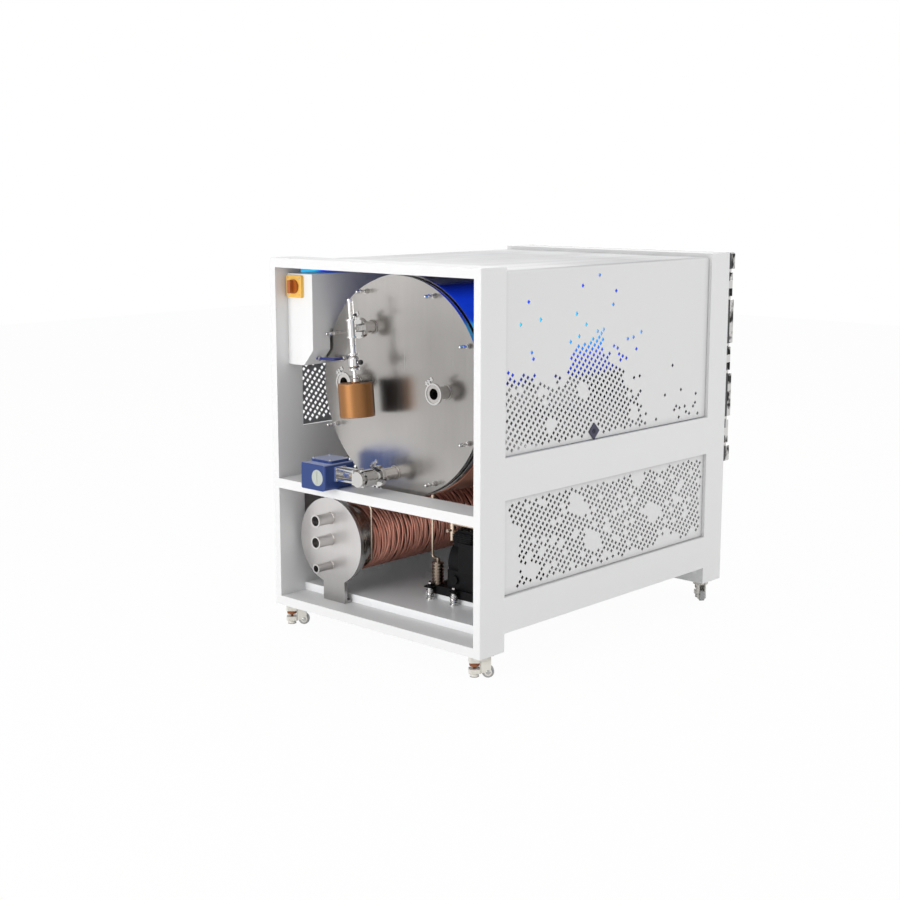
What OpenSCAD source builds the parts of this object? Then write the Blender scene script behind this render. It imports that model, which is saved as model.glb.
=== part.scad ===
/* [Cabinet] */
// Overall width of the cabinet
body_w = 1030; // [960:5:1240]
// Length of the cabinet over its two end frames
body_l = 1455; // [1400:5:1750]
// Height of the cabinet above its castors
cab_h = 1300; // [1290:5:1560]
// Thickness of the side frames
frame_t = 30; // [24:1:36]
// Depth of the end frames along the cabinet
frame_d = 125; // [105:5:150]
// Radius on the outer corners of the posts
post_r = 3; // [1:0.5:6]
// Height of the rails across the top of the end frames
top_rail_h = 34; // [24:1:40]
// Height of the rail across the middle of the service end
mid_rail_h = 36; // [24:1:42]
// Height of the rails across the bottom of the end frames
low_rail_h = 35; // [28:1:40]
// Gap from the top rail down to the chamber
headroom = 17; // [15:1:40]
// Height of the side rails between the upper and lower panels
side_rail_h = 144; // [110:2:170]
// Height of the side rails along the bottom
sill_h = 126; // [90:2:150]

/* [Covers and grilles] */
// Thickness of covers and grilles
sheet_t = 2; // [1.5:0.5:3]
// How far covers and grilles lie behind the posts
recess = 13; // [8:1:18]
// Outer radius of the cover's shoulder
shoulder_r = 12; // [8:1:40]
// Pitch of the holes along their slanted rows
perf_pitch = 18; // [16:0.5:26]
// Distance between the slanted rows
perf_row = 22.3; // [18:0.1:30]
// Side of a square hole
perf_side = 11.5; // [7:0.5:13]
// Height of the perforated hill's crest on the cover
hill_h = 470; // [200:10:520]
// Share of holes left open in the lower grilles
grille_fill = 0.86; // [0.5:0.02:1]

/* [Chamber] */
// Outer radius of the chamber's end plate
chamber_r = 390; // [330:5:400]
// Wall of the chamber
chamber_wall = 8; // [5:1:12]
// Distance from the service end to the chamber's end plate
chamber_back = 152.5; // [150:1:220]
// Thickness of the end plate
end_plate_t = 16; // [10:1:24]
// Outer radius of the ports' pipes
port_r = 22; // [16:1:26]
// Number of shelves
shelf_n = 4; // [2:1:5]
// Distance from shelf to shelf
shelf_pitch = 110; // [90:5:120]
// Gap from the corners of the shelf rack to the chamber's bore
rack_gap = 40; // [24:2:60]
// Thickness of a shelf
shelf_t = 14; // [10:1:20]

/* [Door] */
// Height of the door
door_h = 828; // [810:2:860]
// Thickness of the polished door plate
door_t = 28; // [16:1:34]
// Depth of the dark frame between cabinet and door plate
door_frame_t = 18.8; // [14:0.2:26]

/* [Condenser] */
// Radius of the condenser's end plate
cond_plate_r = 162; // [140:1:170]
// Outer radius of the condenser's shell
cond_r = 118; // [90:1:130]
// Length of the condenser behind its end plate
cond_l = 900; // [600:10:1000]
// Outer diameter of the copper winding's tube
coil_d = 11; // [8:0.5:14]

/* [Castors] */
// Height of a castor from floor to frame
castor_h = 84; // [76:1:104]
// Radius of a castor's wheel
wheel_r = 21; // [18:0.5:23]
// Travel of a levelling foot
foot_travel = 10; // [6:1:12]

/* [Hidden] */
$fn = 64;

white = "#f2f2f1";
grey = "#b9bab9";
steel = "#b8b4b0";
polished = "#cfcfcf";
dark = "#2a2a2c";
copper = "#a86b55";
bronze = "#c08149";
actuator_blue = "#2a4f9c";
liner_blue = "#1b3cc0";

// clearances
seat = 0.3;
ends_gap = 0.5;
panel_gap = 3;
run = 0.05;

// how far the door and the valve actuator stand out of the cabinet's ends
door_seat = 1.2;
latch_gap = 0.4;
latch_t = 5.6;
keeper_t = 5.6;
handle_t = 8;
door_back = door_seat + door_frame_t;
door_front = door_back + door_t;
door_out = door_front + latch_gap + latch_t + handle_t;
actuator_out = 64;

// levels and planes; the footprint is centred on the origin
base = castor_h;
top = base + cab_h;
y_shift = (door_out - actuator_out) / 2;
y_service = body_l / 2 + y_shift;
y_door = y_service - body_l;
y_mid = (y_service + y_door) / 2;
side_x = body_w / 2;
in_x = side_x - frame_t;
panel_x = side_x - recess;
bay_back = y_service - frame_d;
bay_front = y_door + frame_d;
bay_l = bay_back - bay_front;

chamber_z = top - top_rail_h - headroom - chamber_r;
mid_rail_z = chamber_z - chamber_r - 19;
side_rail_z = mid_rail_z + 74;
sill_z = base + 64;
deck_top = base + 65;
deck_flange = deck_top - base - low_rail_h;

// ------------------------------------------------------------ plain helpers

module block(x0, x1, y0, y1, z0, z1) {
    translate([x0, y0, z0]) cube([x1 - x0, y1 - y0, z1 - z0]);
}

module both_sides() {
    children();
    mirror([1, 0, 0]) children();
}

// a cylinder from one end along +Y
module y_bar(r, l) {
    rotate([-90, 0, 0]) cylinder(r = r, h = l);
}

// a cylinder from one end along +X
module x_bar(r, l) {
    rotate([0, 90, 0]) cylinder(r = r, h = l);
}

module y_ring(r_out, r_in, l) {
    rotate([-90, 0, 0]) difference() {
        cylinder(r = r_out, h = l);
        translate([0, 0, -1]) cylinder(r = r_in, h = l + 2);
    }
}

// rectangle with four round corners
module soft_square(w, h, r) {
    translate([r, 0]) square([w - 2 * r, h]);
    translate([0, r]) square([w, h - 2 * r]);
    for (x = [r, w - r], y = [r, h - r]) translate([x, y]) circle(r);
}

// quarter bend of a pipe that comes in along -X and goes up
module elbow(bend_r, r) {
    translate([0, 0, bend_r]) rotate([90, 0, 0]) rotate([0, 0, 180])
        rotate_extrude(angle = 90) translate([bend_r, 0]) circle(r);
}

// a row of touching tube turns around +Z, with the sleeve that backs them
module winding(r_in, d, turns, angle = 360) {
    rotate_extrude(angle = angle) {
        translate([r_in, 0]) square([d / 2, turns * d]);
        for (i = [0 : turns - 1]) translate([r_in + d / 2, (i + 0.5) * d]) circle(d / 2);
    }
}

// ------------------------------------------------------------ frame

module post(side, y0, outer) {
    // the outer corner is round and the other three stay sharp
    color(white) translate([0, 0, base]) linear_extrude(cab_h) scale([side, 1]) difference() {
        translate([in_x, y0]) square([frame_t, frame_d]);
        translate([side_x - post_r, outer > 0 ? y0 + frame_d - post_r : y0])
            difference() {
                square(post_r);
                translate([0, outer > 0 ? 0 : post_r]) circle(post_r);
            }
    }
}

module post_service_left() { post(-1, bay_back, 1); }
module post_service_right() { post(1, bay_back, 1); }
module post_door_left() { post(-1, y_door, -1); }
module post_door_right() { post(1, y_door, -1); }

module side_mid_rails() {
    color(white) both_sides()
        block(in_x, side_x, bay_front, bay_back, side_rail_z, side_rail_z + side_rail_h);
}

module side_sills() {
    color(white) both_sides()
        block(in_x, side_x, bay_front, bay_back, sill_z, sill_z + sill_h);
}

module end_rail(y0, z0, h) {
    color(white) block(-in_x, in_x, y0, y0 + frame_d, z0, z0 + h);
}

module service_top_rail() { end_rail(bay_back, top - top_rail_h, top_rail_h); }
module service_mid_rail() { end_rail(bay_back, mid_rail_z, mid_rail_h); }
module service_bottom_rail() { end_rail(bay_back, base, low_rail_h); }
module door_top_rail() { end_rail(y_door, top - top_rail_h, top_rail_h); }
module door_bottom_rail() { end_rail(y_door, base, low_rail_h); }

// a floor sheet folded down at both ends, standing on the two bottom rails, with two stiffeners
deck_t = 3;
deck_lip = 3.5;
deck_rail_h = 18;
deck_rail_w = 18;
deck_rails = [-176.5, -356];
module deck() {
    y0 = bay_front - deck_lip;
    y1 = bay_back + deck_lip;
    color(white) for (dy = deck_rails)
        block(-in_x + seat, 11, bay_back + dy - deck_rail_w / 2, bay_back + dy + deck_rail_w / 2,
              deck_top - 1, deck_top + deck_rail_h);
    color(grey) {
        block(-in_x + seat, in_x - seat, y0, y1, deck_top - deck_t, deck_top);
        for (y = [y0, y1 - deck_t])
            block(-in_x + seat, in_x - seat, y, y + deck_t, deck_top - deck_flange, deck_top);
    }
}

// ------------------------------------------------------------ perforated covers and grilles

function noise(i, j) = let (s = sin(i * 127.1 + j * 311.7) * 4375.85) s - floor(s);

// staggered rows that climb at 45 degrees
function perf_u(i, j) = (j * perf_pitch + (i % 2) * perf_pitch / 2 + i * perf_row) / sqrt(2);
function perf_v(i, j) = (j * perf_pitch + (i % 2) * perf_pitch / 2 - i * perf_row) / sqrt(2);

// hole centres inside a w by h panel, kept where the rule says so
function hole_centres(w, h, edge, rule) =
    let (rows_up = ceil(h / perf_row / sqrt(2)))
    let (rows_on = ceil(w / perf_row / sqrt(2)))
    let (row_len = ceil((w + h) / perf_pitch / sqrt(2)))
    [for (i = [-rows_up : rows_on], j = [0 : row_len])
        let (u = perf_u(i, j), v = perf_v(i, j))
        if (u > edge && u < w - edge && v > edge && v < h - edge && rule(u, v, noise(i, j)))
            [u, v]];

// u runs from the service end to the door, v up from the panel's lower edge
cover_len = bay_l - 2 * ends_gap;
cover_foot = side_rail_z + side_rail_h + panel_gap;
cover_rise = top - recess - shoulder_r - cover_foot;
lock_u = bay_l * 0.41;
lock_v = 28;
lock_half = 30;
hill_u = bay_l * 0.45;
hill_w = bay_l * 0.15;
slope_h = 230;
slope_w = bay_l * 0.36;
fade = 100;

function hill(u) =
    slope_h * exp(-pow(u / slope_w, 4)) + (hill_h - 110) * exp(-pow((u - hill_u) / hill_w, 2))
    + 34 * sin(u * 1.1) + 20 * sin(u * 2.9 + 40);
cover_rule = function (u, v, luck)
    ((hill(u) - v) / fade + 0.55 > luck || (v < hill(u) + 260 && luck < 0.035))
    && sin(u * 0.7 - v * 1.3 + 20) + sin(u * 1.5 + v * 0.9) < 1.72
    && abs(u - lock_u) + abs(v - lock_v) > lock_half + perf_side + 4;
grille_rule = function (u, v, luck)
    luck < grille_fill
    && sin(u * 0.83 + v * 0.4) + sin(v * 2.3 - u * 0.31) + sin(u * 1.9 + v * 1.3 + 70) < 1.75
    && u > 62 + 30 * sin(v * 0.9);

module perforated(w, h, edge, rule) {
    difference() {
        square([w, h]);
        for (c = hole_centres(w, h, edge, rule))
            translate(c) rotate(45) square(perf_side, center = true);
    }
}

// a sheet that stands at the left side, with u running towards the door
module side_sheet(x, y0, z0, t) {
    translate([-x, y0, z0]) rotate([90, 0, -90]) mirror([0, 0, 1]) linear_extrude(t) children();
}

// an angle-shaped sheet: shoulder and roof that follow the side sheet
module shoulder_roof(x, z, r, t, x_end, y0, y1) {
    translate([0, y1, 0]) rotate([90, 0, 0]) linear_extrude(y1 - y0) {
        translate([-x + r, z - r]) difference() {
            intersection() {
                circle(r);
                translate([-r, 0]) square(r);
            }
            circle(r - t);
        }
        translate([-x + r, z - t]) square([x - r - x_end, t]);
    }
}

seam = 1;
lock_core_r = 9;
module cover() {
    color(white) difference() {
        union() {
            side_sheet(panel_x, bay_back - ends_gap, cover_foot, sheet_t)
                perforated(cover_len, cover_rise, 16, cover_rule);
            shoulder_roof(panel_x, top - recess, shoulder_r, sheet_t, seam,
                          bay_front + ends_gap, bay_back - ends_gap);
        }
        translate([-panel_x - 1, bay_back - ends_gap - lock_u, cover_foot + lock_v])
            x_bar(lock_core_r + 1, sheet_t + 2);
    }
}

module cover_left() { cover(); }
module cover_right() { mirror([1, 0, 0]) cover(); }

grille_foot = sill_z + sill_h + panel_gap;
grille_h = side_rail_z - grille_foot - ends_gap;
module grille() {
    color(white)
        side_sheet(panel_x, bay_back - ends_gap, grille_foot, sheet_t)
            perforated(cover_len, grille_h, 18, grille_rule);
}

module grille_left() { grille(); }
module grille_right() { mirror([1, 0, 0]) grille(); }

// coloured backing behind the upper half of the covers, following shoulder and roof
liner_t = 2;
liner_gap = 2;
liner_foot = cover_foot + 230;
liner_end = 70;
module blue_liners() {
    liner_x = panel_x - sheet_t - liner_gap;
    liner_z = top - recess - sheet_t - liner_gap;
    liner_r = shoulder_r - sheet_t - liner_gap;
    color(liner_blue) both_sides() {
        block(-liner_x, -liner_x + liner_t, bay_front + ends_gap, bay_back - ends_gap,
              liner_foot, liner_z - liner_r);
        shoulder_roof(liner_x, liner_z, liner_r, liner_t, liner_end,
                      bay_front + ends_gap, bay_back - ends_gap);
    }
}

// sheet across the door end with a round hole for the chamber's mouth
flange_r = chamber_r - 3;
front_t = 3;
module front_plate() {
    color(white) difference() {
        block(-in_x + seat, in_x - seat, y_door, y_door + front_t,
              base + low_rail_h + seat, top - top_rail_h - seat);
        translate([0, y_door - 1, chamber_z]) y_bar(flange_r + seat, front_t + 2);
    }
}

// ------------------------------------------------------------ panel locks

lock_y = bay_back - ends_gap - lock_u;
lock_z = cover_foot + lock_v;
lock_plate_t = 4;
module lock_plates() {
    color(dark) both_sides() translate([-panel_x - lock_plate_t, lock_y, lock_z]) difference() {
        rotate([45, 0, 0]) translate([0, -lock_half / sqrt(2), -lock_half / sqrt(2)])
            cube([lock_plate_t, lock_half * sqrt(2), lock_half * sqrt(2)]);
        translate([-1, 0, 0]) x_bar(lock_core_r + run, lock_plate_t + 2);
    }
}

// quarter-turn core with a slot outside and a cam that hooks behind the side rail
cam_t = 4;
cam_l = 42;
module lock() {
    core_l = panel_x - in_x + lock_plate_t + seat;
    color(steel) translate([-panel_x - lock_plate_t, lock_y, lock_z]) difference() {
        union() {
            translate([-1.5, 0, 0]) x_bar(lock_core_r, core_l + 1.5 + cam_t);
            translate([core_l, -lock_core_r, -cam_l])
                cube([cam_t, 2 * lock_core_r, cam_l]);
        }
        translate([-2.5, -1.25, -7]) cube([2.5, 2.5, 14]);
    }
}

module lock_left() { lock(); }
module lock_right() { mirror([1, 0, 0]) lock(); }

// ------------------------------------------------------------ chamber

y_plate = y_service - chamber_back;
shell_r = chamber_r - 6;
bore_r = shell_r - chamber_wall;
neck_l = 7;
rear_flange_t = 12;
rim_r = chamber_r + 6;
front_flange_t = 15;
mouth_r = bore_r - 10;
y_shell = y_plate - end_plate_t - neck_l;
port_wall = 2.5;
side_port_l = 64;
vent_port_l = 62;
drain_port_l = 84;
ferrule_r = port_r + 10;
ferrule_t = 6;

module chamber_shell() {
    color(steel) translate([0, 0, chamber_z]) difference() {
        union() {
            translate([0, y_door, 0]) y_bar(shell_r, y_shell - y_door);
            translate([0, y_shell - rear_flange_t, 0]) y_bar(rim_r, rear_flange_t);
            translate([0, y_door, 0]) y_bar(flange_r, front_flange_t);
        }
        translate([0, y_door + front_flange_t, 0]) y_bar(bore_r, y_shell - y_door);
        translate([0, y_door - 1, 0]) y_bar(mouth_r, front_flange_t + 2);
    }
}

// ports on the end plate as x, z and length: side pair, upper vent and bottom drain
side_port_x = chamber_r * 0.57;
vent_x = chamber_r * 0.354;
vent_z = chamber_z + chamber_r * 0.52;
drain_x = 30;
drain_z = chamber_z - chamber_r * 0.805;
ports = [[side_port_x, chamber_z, side_port_l], [-side_port_x, chamber_z, side_port_l],
         [vent_x, vent_z, vent_port_l], [drain_x, drain_z, drain_port_l]];
stud_ring_r = chamber_r - 22;
stud_angles = [27, 63, 117, 153, 207, 243, 297, 333];

module chamber_end_plate() {
    color(steel) difference() {
        union() {
            translate([0, y_plate - end_plate_t, chamber_z]) y_bar(chamber_r, end_plate_t);
            translate([0, y_shell, chamber_z]) y_bar(chamber_r - 12, neck_l);
            for (p = ports) translate([p[0], y_plate - 1, p[1]]) {
                y_bar(port_r, p[2]);
                translate([0, p[2] + 1 - ferrule_t, 0]) y_bar(ferrule_r, ferrule_t);
            }
            for (a = stud_angles)
                translate([stud_ring_r * cos(a), y_plate - 1, chamber_z + stud_ring_r * sin(a)]) {
                    y_bar(4.5, 42);
                    y_bar(9, 9);
                }
        }
        for (p = ports)
            translate([p[0], y_shell - 1, p[1]])
                y_bar(port_r - port_wall, y_plate - y_shell + p[2] + 2);
    }
}

// half turns of copper tube under the chamber
half_angle = 50;
module chamber_coil() {
    rows = [[y_shell - 26, 12], [y_mid + 300, 42], [y_mid - 360, 10]];
    color(copper) for (r = rows)
        translate([0, r[0], chamber_z]) rotate([90, 90, 0]) rotate([0, 0, -half_angle])
            winding(shell_r + seat, coil_d + 3, r[1], 2 * half_angle);
}

// four brackets from the side rails carry the chamber
saddle_t = 14;
saddle_y = 330;
saddle_low = side_rail_z + side_rail_h - 48;
module chamber_saddles() {
    color(white) difference() {
        both_sides() for (y = [y_mid - saddle_y, y_mid + saddle_y]) {
            block(240, in_x - seat, y - saddle_t / 2, y + saddle_t / 2,
                  saddle_low, side_rail_z + side_rail_h);
            block(in_x - seat - 10, in_x - seat, y - 3 * saddle_t, y + 3 * saddle_t,
                  side_rail_z + 10, side_rail_z + side_rail_h);
        }
        translate([0, y_door, chamber_z]) y_bar(shell_r + seat, body_l);
    }
}

// shelves on ledges that are screwed to upright bars inside the chamber
rack_l = 1050;
rack_t = 10;
ledge_w = 14;
ledge_t = 6;
rail_w = 26;
uprights = 4;
rack_y0 = y_mid - rack_l / 2 - 20;
shelf_low = chamber_z - (shelf_n - 1) * shelf_pitch / 2 - shelf_t / 2;
rack_up = (shelf_n - 1) * shelf_pitch / 2 + shelf_t / 2 + 26;
rack_x = sqrt(pow(bore_r - rack_gap, 2) - pow(rack_up, 2)) - rack_t;
rack_foot = chamber_z - sqrt(pow(bore_r - seat, 2) - pow(rack_x + rack_t, 2));
rack_top = chamber_z + rack_up;

module shelf_rack() {
    step = (rack_l - rail_w) / (uprights - 1);
    color(steel) both_sides() {
        for (i = [0 : uprights - 1])
            block(rack_x, rack_x + rack_t, rack_y0 + i * step, rack_y0 + i * step + rail_w,
                  rack_foot, rack_top);
        for (k = [0 : shelf_n - 1])
            block(rack_x - ledge_w, rack_x - seat, rack_y0, rack_y0 + rack_l,
                  shelf_low + k * shelf_pitch - ledge_t, shelf_low + k * shelf_pitch);
    }
}

module shelves() {
    color(polished) for (k = [0 : shelf_n - 1])
        translate([2 - rack_x, rack_y0 + 5, shelf_low + k * shelf_pitch])
            linear_extrude(shelf_t) soft_square(2 * rack_x - 4, rack_l - 10, 12);
}

// ------------------------------------------------------------ door

door_x = side_x - 5;
door_top = top;
door_foot = door_top - door_h;
door_mid_z = (door_top + door_foot) / 2;
frame_band = 26;
boss_r = flange_r - 10;
boss_gap = 3.5;
gasket_r = mouth_r + 5;
gasket_half = 4;
groove_d = 4;
hinge_x = -(side_x - 11);
hinge_y = y_door - 25;
knuckle_r = 9;
pin_r = 5;
knuckle_h = 30;
hinge_levels = [door_mid_z - 290, door_mid_z, door_mid_z + 290];
notch_x = hinge_x + knuckle_r + 2;
keeper_w = 30;
keeper_x0 = side_x - 20;
keeper_x1 = side_x - 2;
latch_x = side_x - 53;
latch_z = door_mid_z;
spindle_r = 8;

module door_knuckles(z) {
    for (dz = [-knuckle_h * 1.5 - ends_gap, knuckle_h / 2 + ends_gap])
        translate([hinge_x, hinge_y, z + dz]) {
            cylinder(r = knuckle_r, h = knuckle_h);
            translate([0, -knuckle_r, 0]) cube([notch_x - hinge_x + 4, 2 * knuckle_r - 4, knuckle_h]);
        }
}

module door_pin_bores(z) {
    translate([hinge_x, hinge_y, z - 2 * knuckle_h])
        cylinder(r = pin_r + run, h = 4 * knuckle_h);
}

// slab with rounded corners and edges, and a round sealing boss on its back
module door_plate() {
    color(polished) difference() {
        union() {
            difference() {
                intersection() {
                    translate([-door_x, y_door - door_back, door_foot]) rotate([90, 0, 0])
                        linear_extrude(door_t) soft_square(2 * door_x, door_h, 14);
                    translate([-door_x, y_door - door_back - door_t, door_foot])
                        linear_extrude(door_h) soft_square(2 * door_x, door_t, 5);
                }
                // notches for the hinges and for the latch's keeper
                for (z = hinge_levels)
                    block(-door_x - 1, notch_x, y_door - door_front - 1,
                          y_door - door_back + 1, z - 2 * knuckle_h, z + 2 * knuckle_h);
                block(keeper_x0 - 3, door_x + 1, y_door - door_front - 1, y_door - door_back + 1,
                      latch_z - keeper_w / 2 - 3, latch_z + keeper_w / 2 + 3);
            }
            translate([0, y_door - door_back - 1, chamber_z])
                y_bar(boss_r, door_back + 1 - boss_gap);
            for (z = hinge_levels) door_knuckles(z);
        }
        for (z = hinge_levels) door_pin_bores(z);
        translate([0, y_door - boss_gap - groove_d, chamber_z])
            y_ring(gasket_r + gasket_half, gasket_r - gasket_half, groove_d + 1);
        translate([latch_x, y_door - door_front - 1, latch_z]) y_bar(spindle_r + run, door_t + 2);
    }
}

module door_frame() {
    color(dark) translate([0, y_door - door_seat, 0]) rotate([90, 0, 0])
        linear_extrude(door_frame_t) difference() {
            translate([-door_x, door_foot]) soft_square(2 * door_x, door_h, 14);
            translate([-door_x + frame_band, door_foot + frame_band])
                soft_square(2 * (door_x - frame_band), door_h - 2 * frame_band, 6);
            translate([0, chamber_z]) circle(boss_r + 2);
            // notches like the plate's
            for (z = hinge_levels) translate([-door_x - 1, z - 2 * knuckle_h])
                square([notch_x + door_x + 1, 4 * knuckle_h]);
            translate([keeper_x0 - 3, latch_z - keeper_w / 2 - 3])
                square([door_x + 1 - keeper_x0 + 3, keeper_w + 6]);
        }
}

// round-nosed sealing ring that stands out of its groove
module door_gasket() {
    color(dark) translate([0, y_door - boss_gap - groove_d, chamber_z]) rotate([-90, 0, 0])
        rotate_extrude() {
            translate([gasket_r - gasket_half, 0])
                square([2 * gasket_half, groove_d + boss_gap - seat - 2]);
            translate([gasket_r, groove_d + boss_gap - seat - 2])
                intersection() {
                    circle(2);
                    translate([-2, 0]) square([4, 2]);
                }
            translate([gasket_r - gasket_half, 0]) square([2 * gasket_half, groove_d]);
        }
}

// three hinge brackets with pins, and the latch keeper on the other post
module door_brackets() {
    color(polished) {
        for (z = hinge_levels) {
            translate([hinge_x, hinge_y, z - 1.6 * knuckle_h])
                cylinder(r = pin_r, h = 3.2 * knuckle_h);
            translate([hinge_x, hinge_y, z - knuckle_h / 2]) cylinder(r = knuckle_r, h = knuckle_h);
            block(hinge_x - knuckle_r, hinge_x + knuckle_r, hinge_y, y_door,
                  z - knuckle_h / 2, z + knuckle_h / 2);
        }
        difference() {
            block(keeper_x0, keeper_x1, y_door - door_front - latch_gap - latch_t - keeper_t,
                  y_door, latch_z - keeper_w / 2, latch_z + keeper_w / 2);
            block(keeper_x0 - 1, keeper_x1 - 6, y_door - door_front - latch_t - 2 * latch_gap,
                  y_door - door_front, latch_z - keeper_w, latch_z + keeper_w);
        }
    }
}

// lever with a spindle into the door; a quarter turn brings its tongue behind the keeper's lip
module door_latch() {
    front = y_door - door_front - latch_gap;
    color(dark) translate([latch_x, front, latch_z]) {
        y_bar(spindle_r, door_t - 4);
        translate([-8, -latch_t, 0]) cube([16, latch_t, keeper_x1 - 7 - latch_x]);
        translate([0, -latch_t, 0]) y_bar(17, latch_t);
        translate([0, -latch_t, 0]) rotate([90, 0, 0]) linear_extrude(handle_t)
            translate([-12, -130]) soft_square(24, 150, 10);
    }
}

// ------------------------------------------------------------ electrical box

ebox_w = 132;
ebox_h = 333;
ebox_l = 900;
ebox_inset = 60;
ebox_z = top - 58 - ebox_h;
ebox_x1 = in_x - seat;
isolator_w = 80;
isolator_t = 12;
isolator_x = ebox_x1 - 46;
isolator_z = ebox_z + ebox_h - 46;
knob_r = 26;

// the box hugs the chamber behind the end plate
module electrical_box() {
    color(white) difference() {
        translate([0, y_service - ebox_inset, 0]) rotate([90, 0, 0])
            linear_extrude(ebox_l) polygon([
                [ebox_x1, ebox_z], [ebox_x1, ebox_z + ebox_h],
                [ebox_x1 - ebox_w, ebox_z + ebox_h], [ebox_x1 - ebox_w, ebox_z + 57],
                [ebox_x1 - ebox_w + 50, ebox_z]
            ]);
        translate([0, y_service - ebox_inset - ebox_l - 1, chamber_z])
            y_bar(rim_r + 2, ebox_l + 1 - (y_service - ebox_inset - y_plate) + 8);
    }
}

module isolator_plate() {
    color("#f0b840") difference() {
        translate([isolator_x - isolator_w / 2, y_service - ebox_inset + isolator_t,
                   isolator_z - isolator_w / 2])
            rotate([90, 0, 0]) linear_extrude(isolator_t) soft_square(isolator_w, isolator_w, 6);
        translate([isolator_x, y_service - ebox_inset - 1, isolator_z]) y_bar(6 + run, 30);
    }
}

module isolator_knob() {
    color("#c8400f") translate([isolator_x, y_service - ebox_inset + isolator_t, isolator_z]) {
        translate([0, 1 - isolator_t, 0]) y_bar(6, isolator_t);
        translate([0, seat, 0]) y_bar(knob_r, 9);
        translate([-8, 9, -24]) rotate([90, 0, 0]) mirror([0, 0, 1])
            linear_extrude(16) soft_square(16, 48, 5);
    }
}

// ------------------------------------------------------------ vent line

y_vent = y_plate + vent_port_l;
stack_y = y_vent + 41;
stack_tilt = 5;
stack_r = 11;
riser_r = 8;
tee_r = 15;
filter_r = 63;
filter_h = 124;
filter_drop = 188;

// places what hangs on the tee, which leans a little
module on_tee(z) {
    translate([vent_x, stack_y, vent_z]) rotate([0, stack_tilt, 0]) translate([0, 0, z]) children();
}

module stack_flange(z) {
    on_tee(z) cylinder(r = 19, h = 5);
}

module vent_stack() {
    color(polished) {
        // branch to the vent port and the tee
        translate([vent_x, y_vent, vent_z]) {
            y_bar(ferrule_r, ferrule_t);
            y_bar(tee_r, stack_y - y_vent);
        }
        on_tee(-30) cylinder(r = tee_r, h = 60);
        stack_flange(28);
        on_tee(32) cylinder(r = riser_r, h = 70);
        on_tee(98) cylinder(r = riser_r + 2, h = 6);
        // sensing line beside the riser
        on_tee(40) translate([-riser_r - 9, 0, 0]) {
            cylinder(r = 2, h = 56);
            for (z = [2, 52]) translate([0, 0, z]) rotate([0, 90, 0]) cylinder(r = 2, h = 12);
        }
        stack_flange(-32);
        on_tee(-90) cylinder(r = stack_r, h = 60);
        stack_flange(-92);
        // check valve body with a test nipple
        on_tee(-142) rotate_extrude() polygon([
            [0, 0], [stack_r + 2, 0], [21, 10], [21, 36], [stack_r + 2, 46], [stack_r + 2, 52], [0, 52]
        ]);
        on_tee(-119) rotate([0, -90, 0]) cylinder(r = 5, h = 33);
        stack_flange(-146);
        on_tee(-filter_drop) cylinder(r = riser_r, h = 44);
    }
}

module vent_filter() {
    color(bronze) on_tee(-filter_drop - filter_h)
        rotate_extrude() polygon([
            [0, 0], [filter_r - 2, 0], [filter_r, 2], [filter_r, filter_h - 6],
            [filter_r - 3, filter_h - 3], [filter_r - 12, filter_h - 3],
            [filter_r - 12, filter_h - 5], [16, filter_h - 5], [16, filter_h], [0, filter_h]
        ]);
}

// two-piece clamps round the ferrules, each with a wing nut
clamp_t = 5;
module pipe_clamp(open_end) {
    ring_l = open_end ? ferrule_t + 4 : 2 * ferrule_t + 2;
    translate([0, -1, 0]) {
        y_ring(ferrule_r + seat + clamp_t, ferrule_r + seat, ring_l);
        rotate([0, -55, 0]) translate([0, ring_l / 2 - 4, 0]) {
            translate([ferrule_r + seat + 1, 0, -9]) cube([20, 8, 7]);
            translate([ferrule_r + seat + 1, 0, 2]) cube([20, 8, 7]);
            translate([ferrule_r + 15, 4, -14]) cylinder(r = 3, h = 34);
            translate([ferrule_r + 9, 1.5, 16]) cube([13, 5, 9]);
        }
    }
}

module pipe_clamps() {
    color(polished) for (k = [0 : 3])
        translate([ports[k][0], y_plate + ports[k][2] - ferrule_t, ports[k][1]])
            pipe_clamp(k < 2);
}

// ------------------------------------------------------------ drain line

y_outlet = y_plate + drain_port_l;
y_valve = y_outlet + 26;
pipe_r = 15;
valve_r = 31;
valve_l = 70;
cap_t = 7;
y_stem = y_valve + valve_l / 2 - 1;

// short spool between the drain port and the valve
module drain_pipe() {
    color(polished) translate([drain_x, y_outlet, drain_z]) {
        y_bar(ferrule_r, ferrule_t);
        y_bar(pipe_r, y_valve - y_outlet);
        translate([0, y_valve - y_outlet - 8, 0]) y_bar(pipe_r + 8, 8);
    }
}

act_w = 128;
act_d = 145;
act_h = 104;
act_x0 = drain_x + 135;
act_z0 = mid_rail_z + mid_rail_h + 1.5;
act_y1 = y_service + actuator_out;
act_lid = 10;

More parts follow.
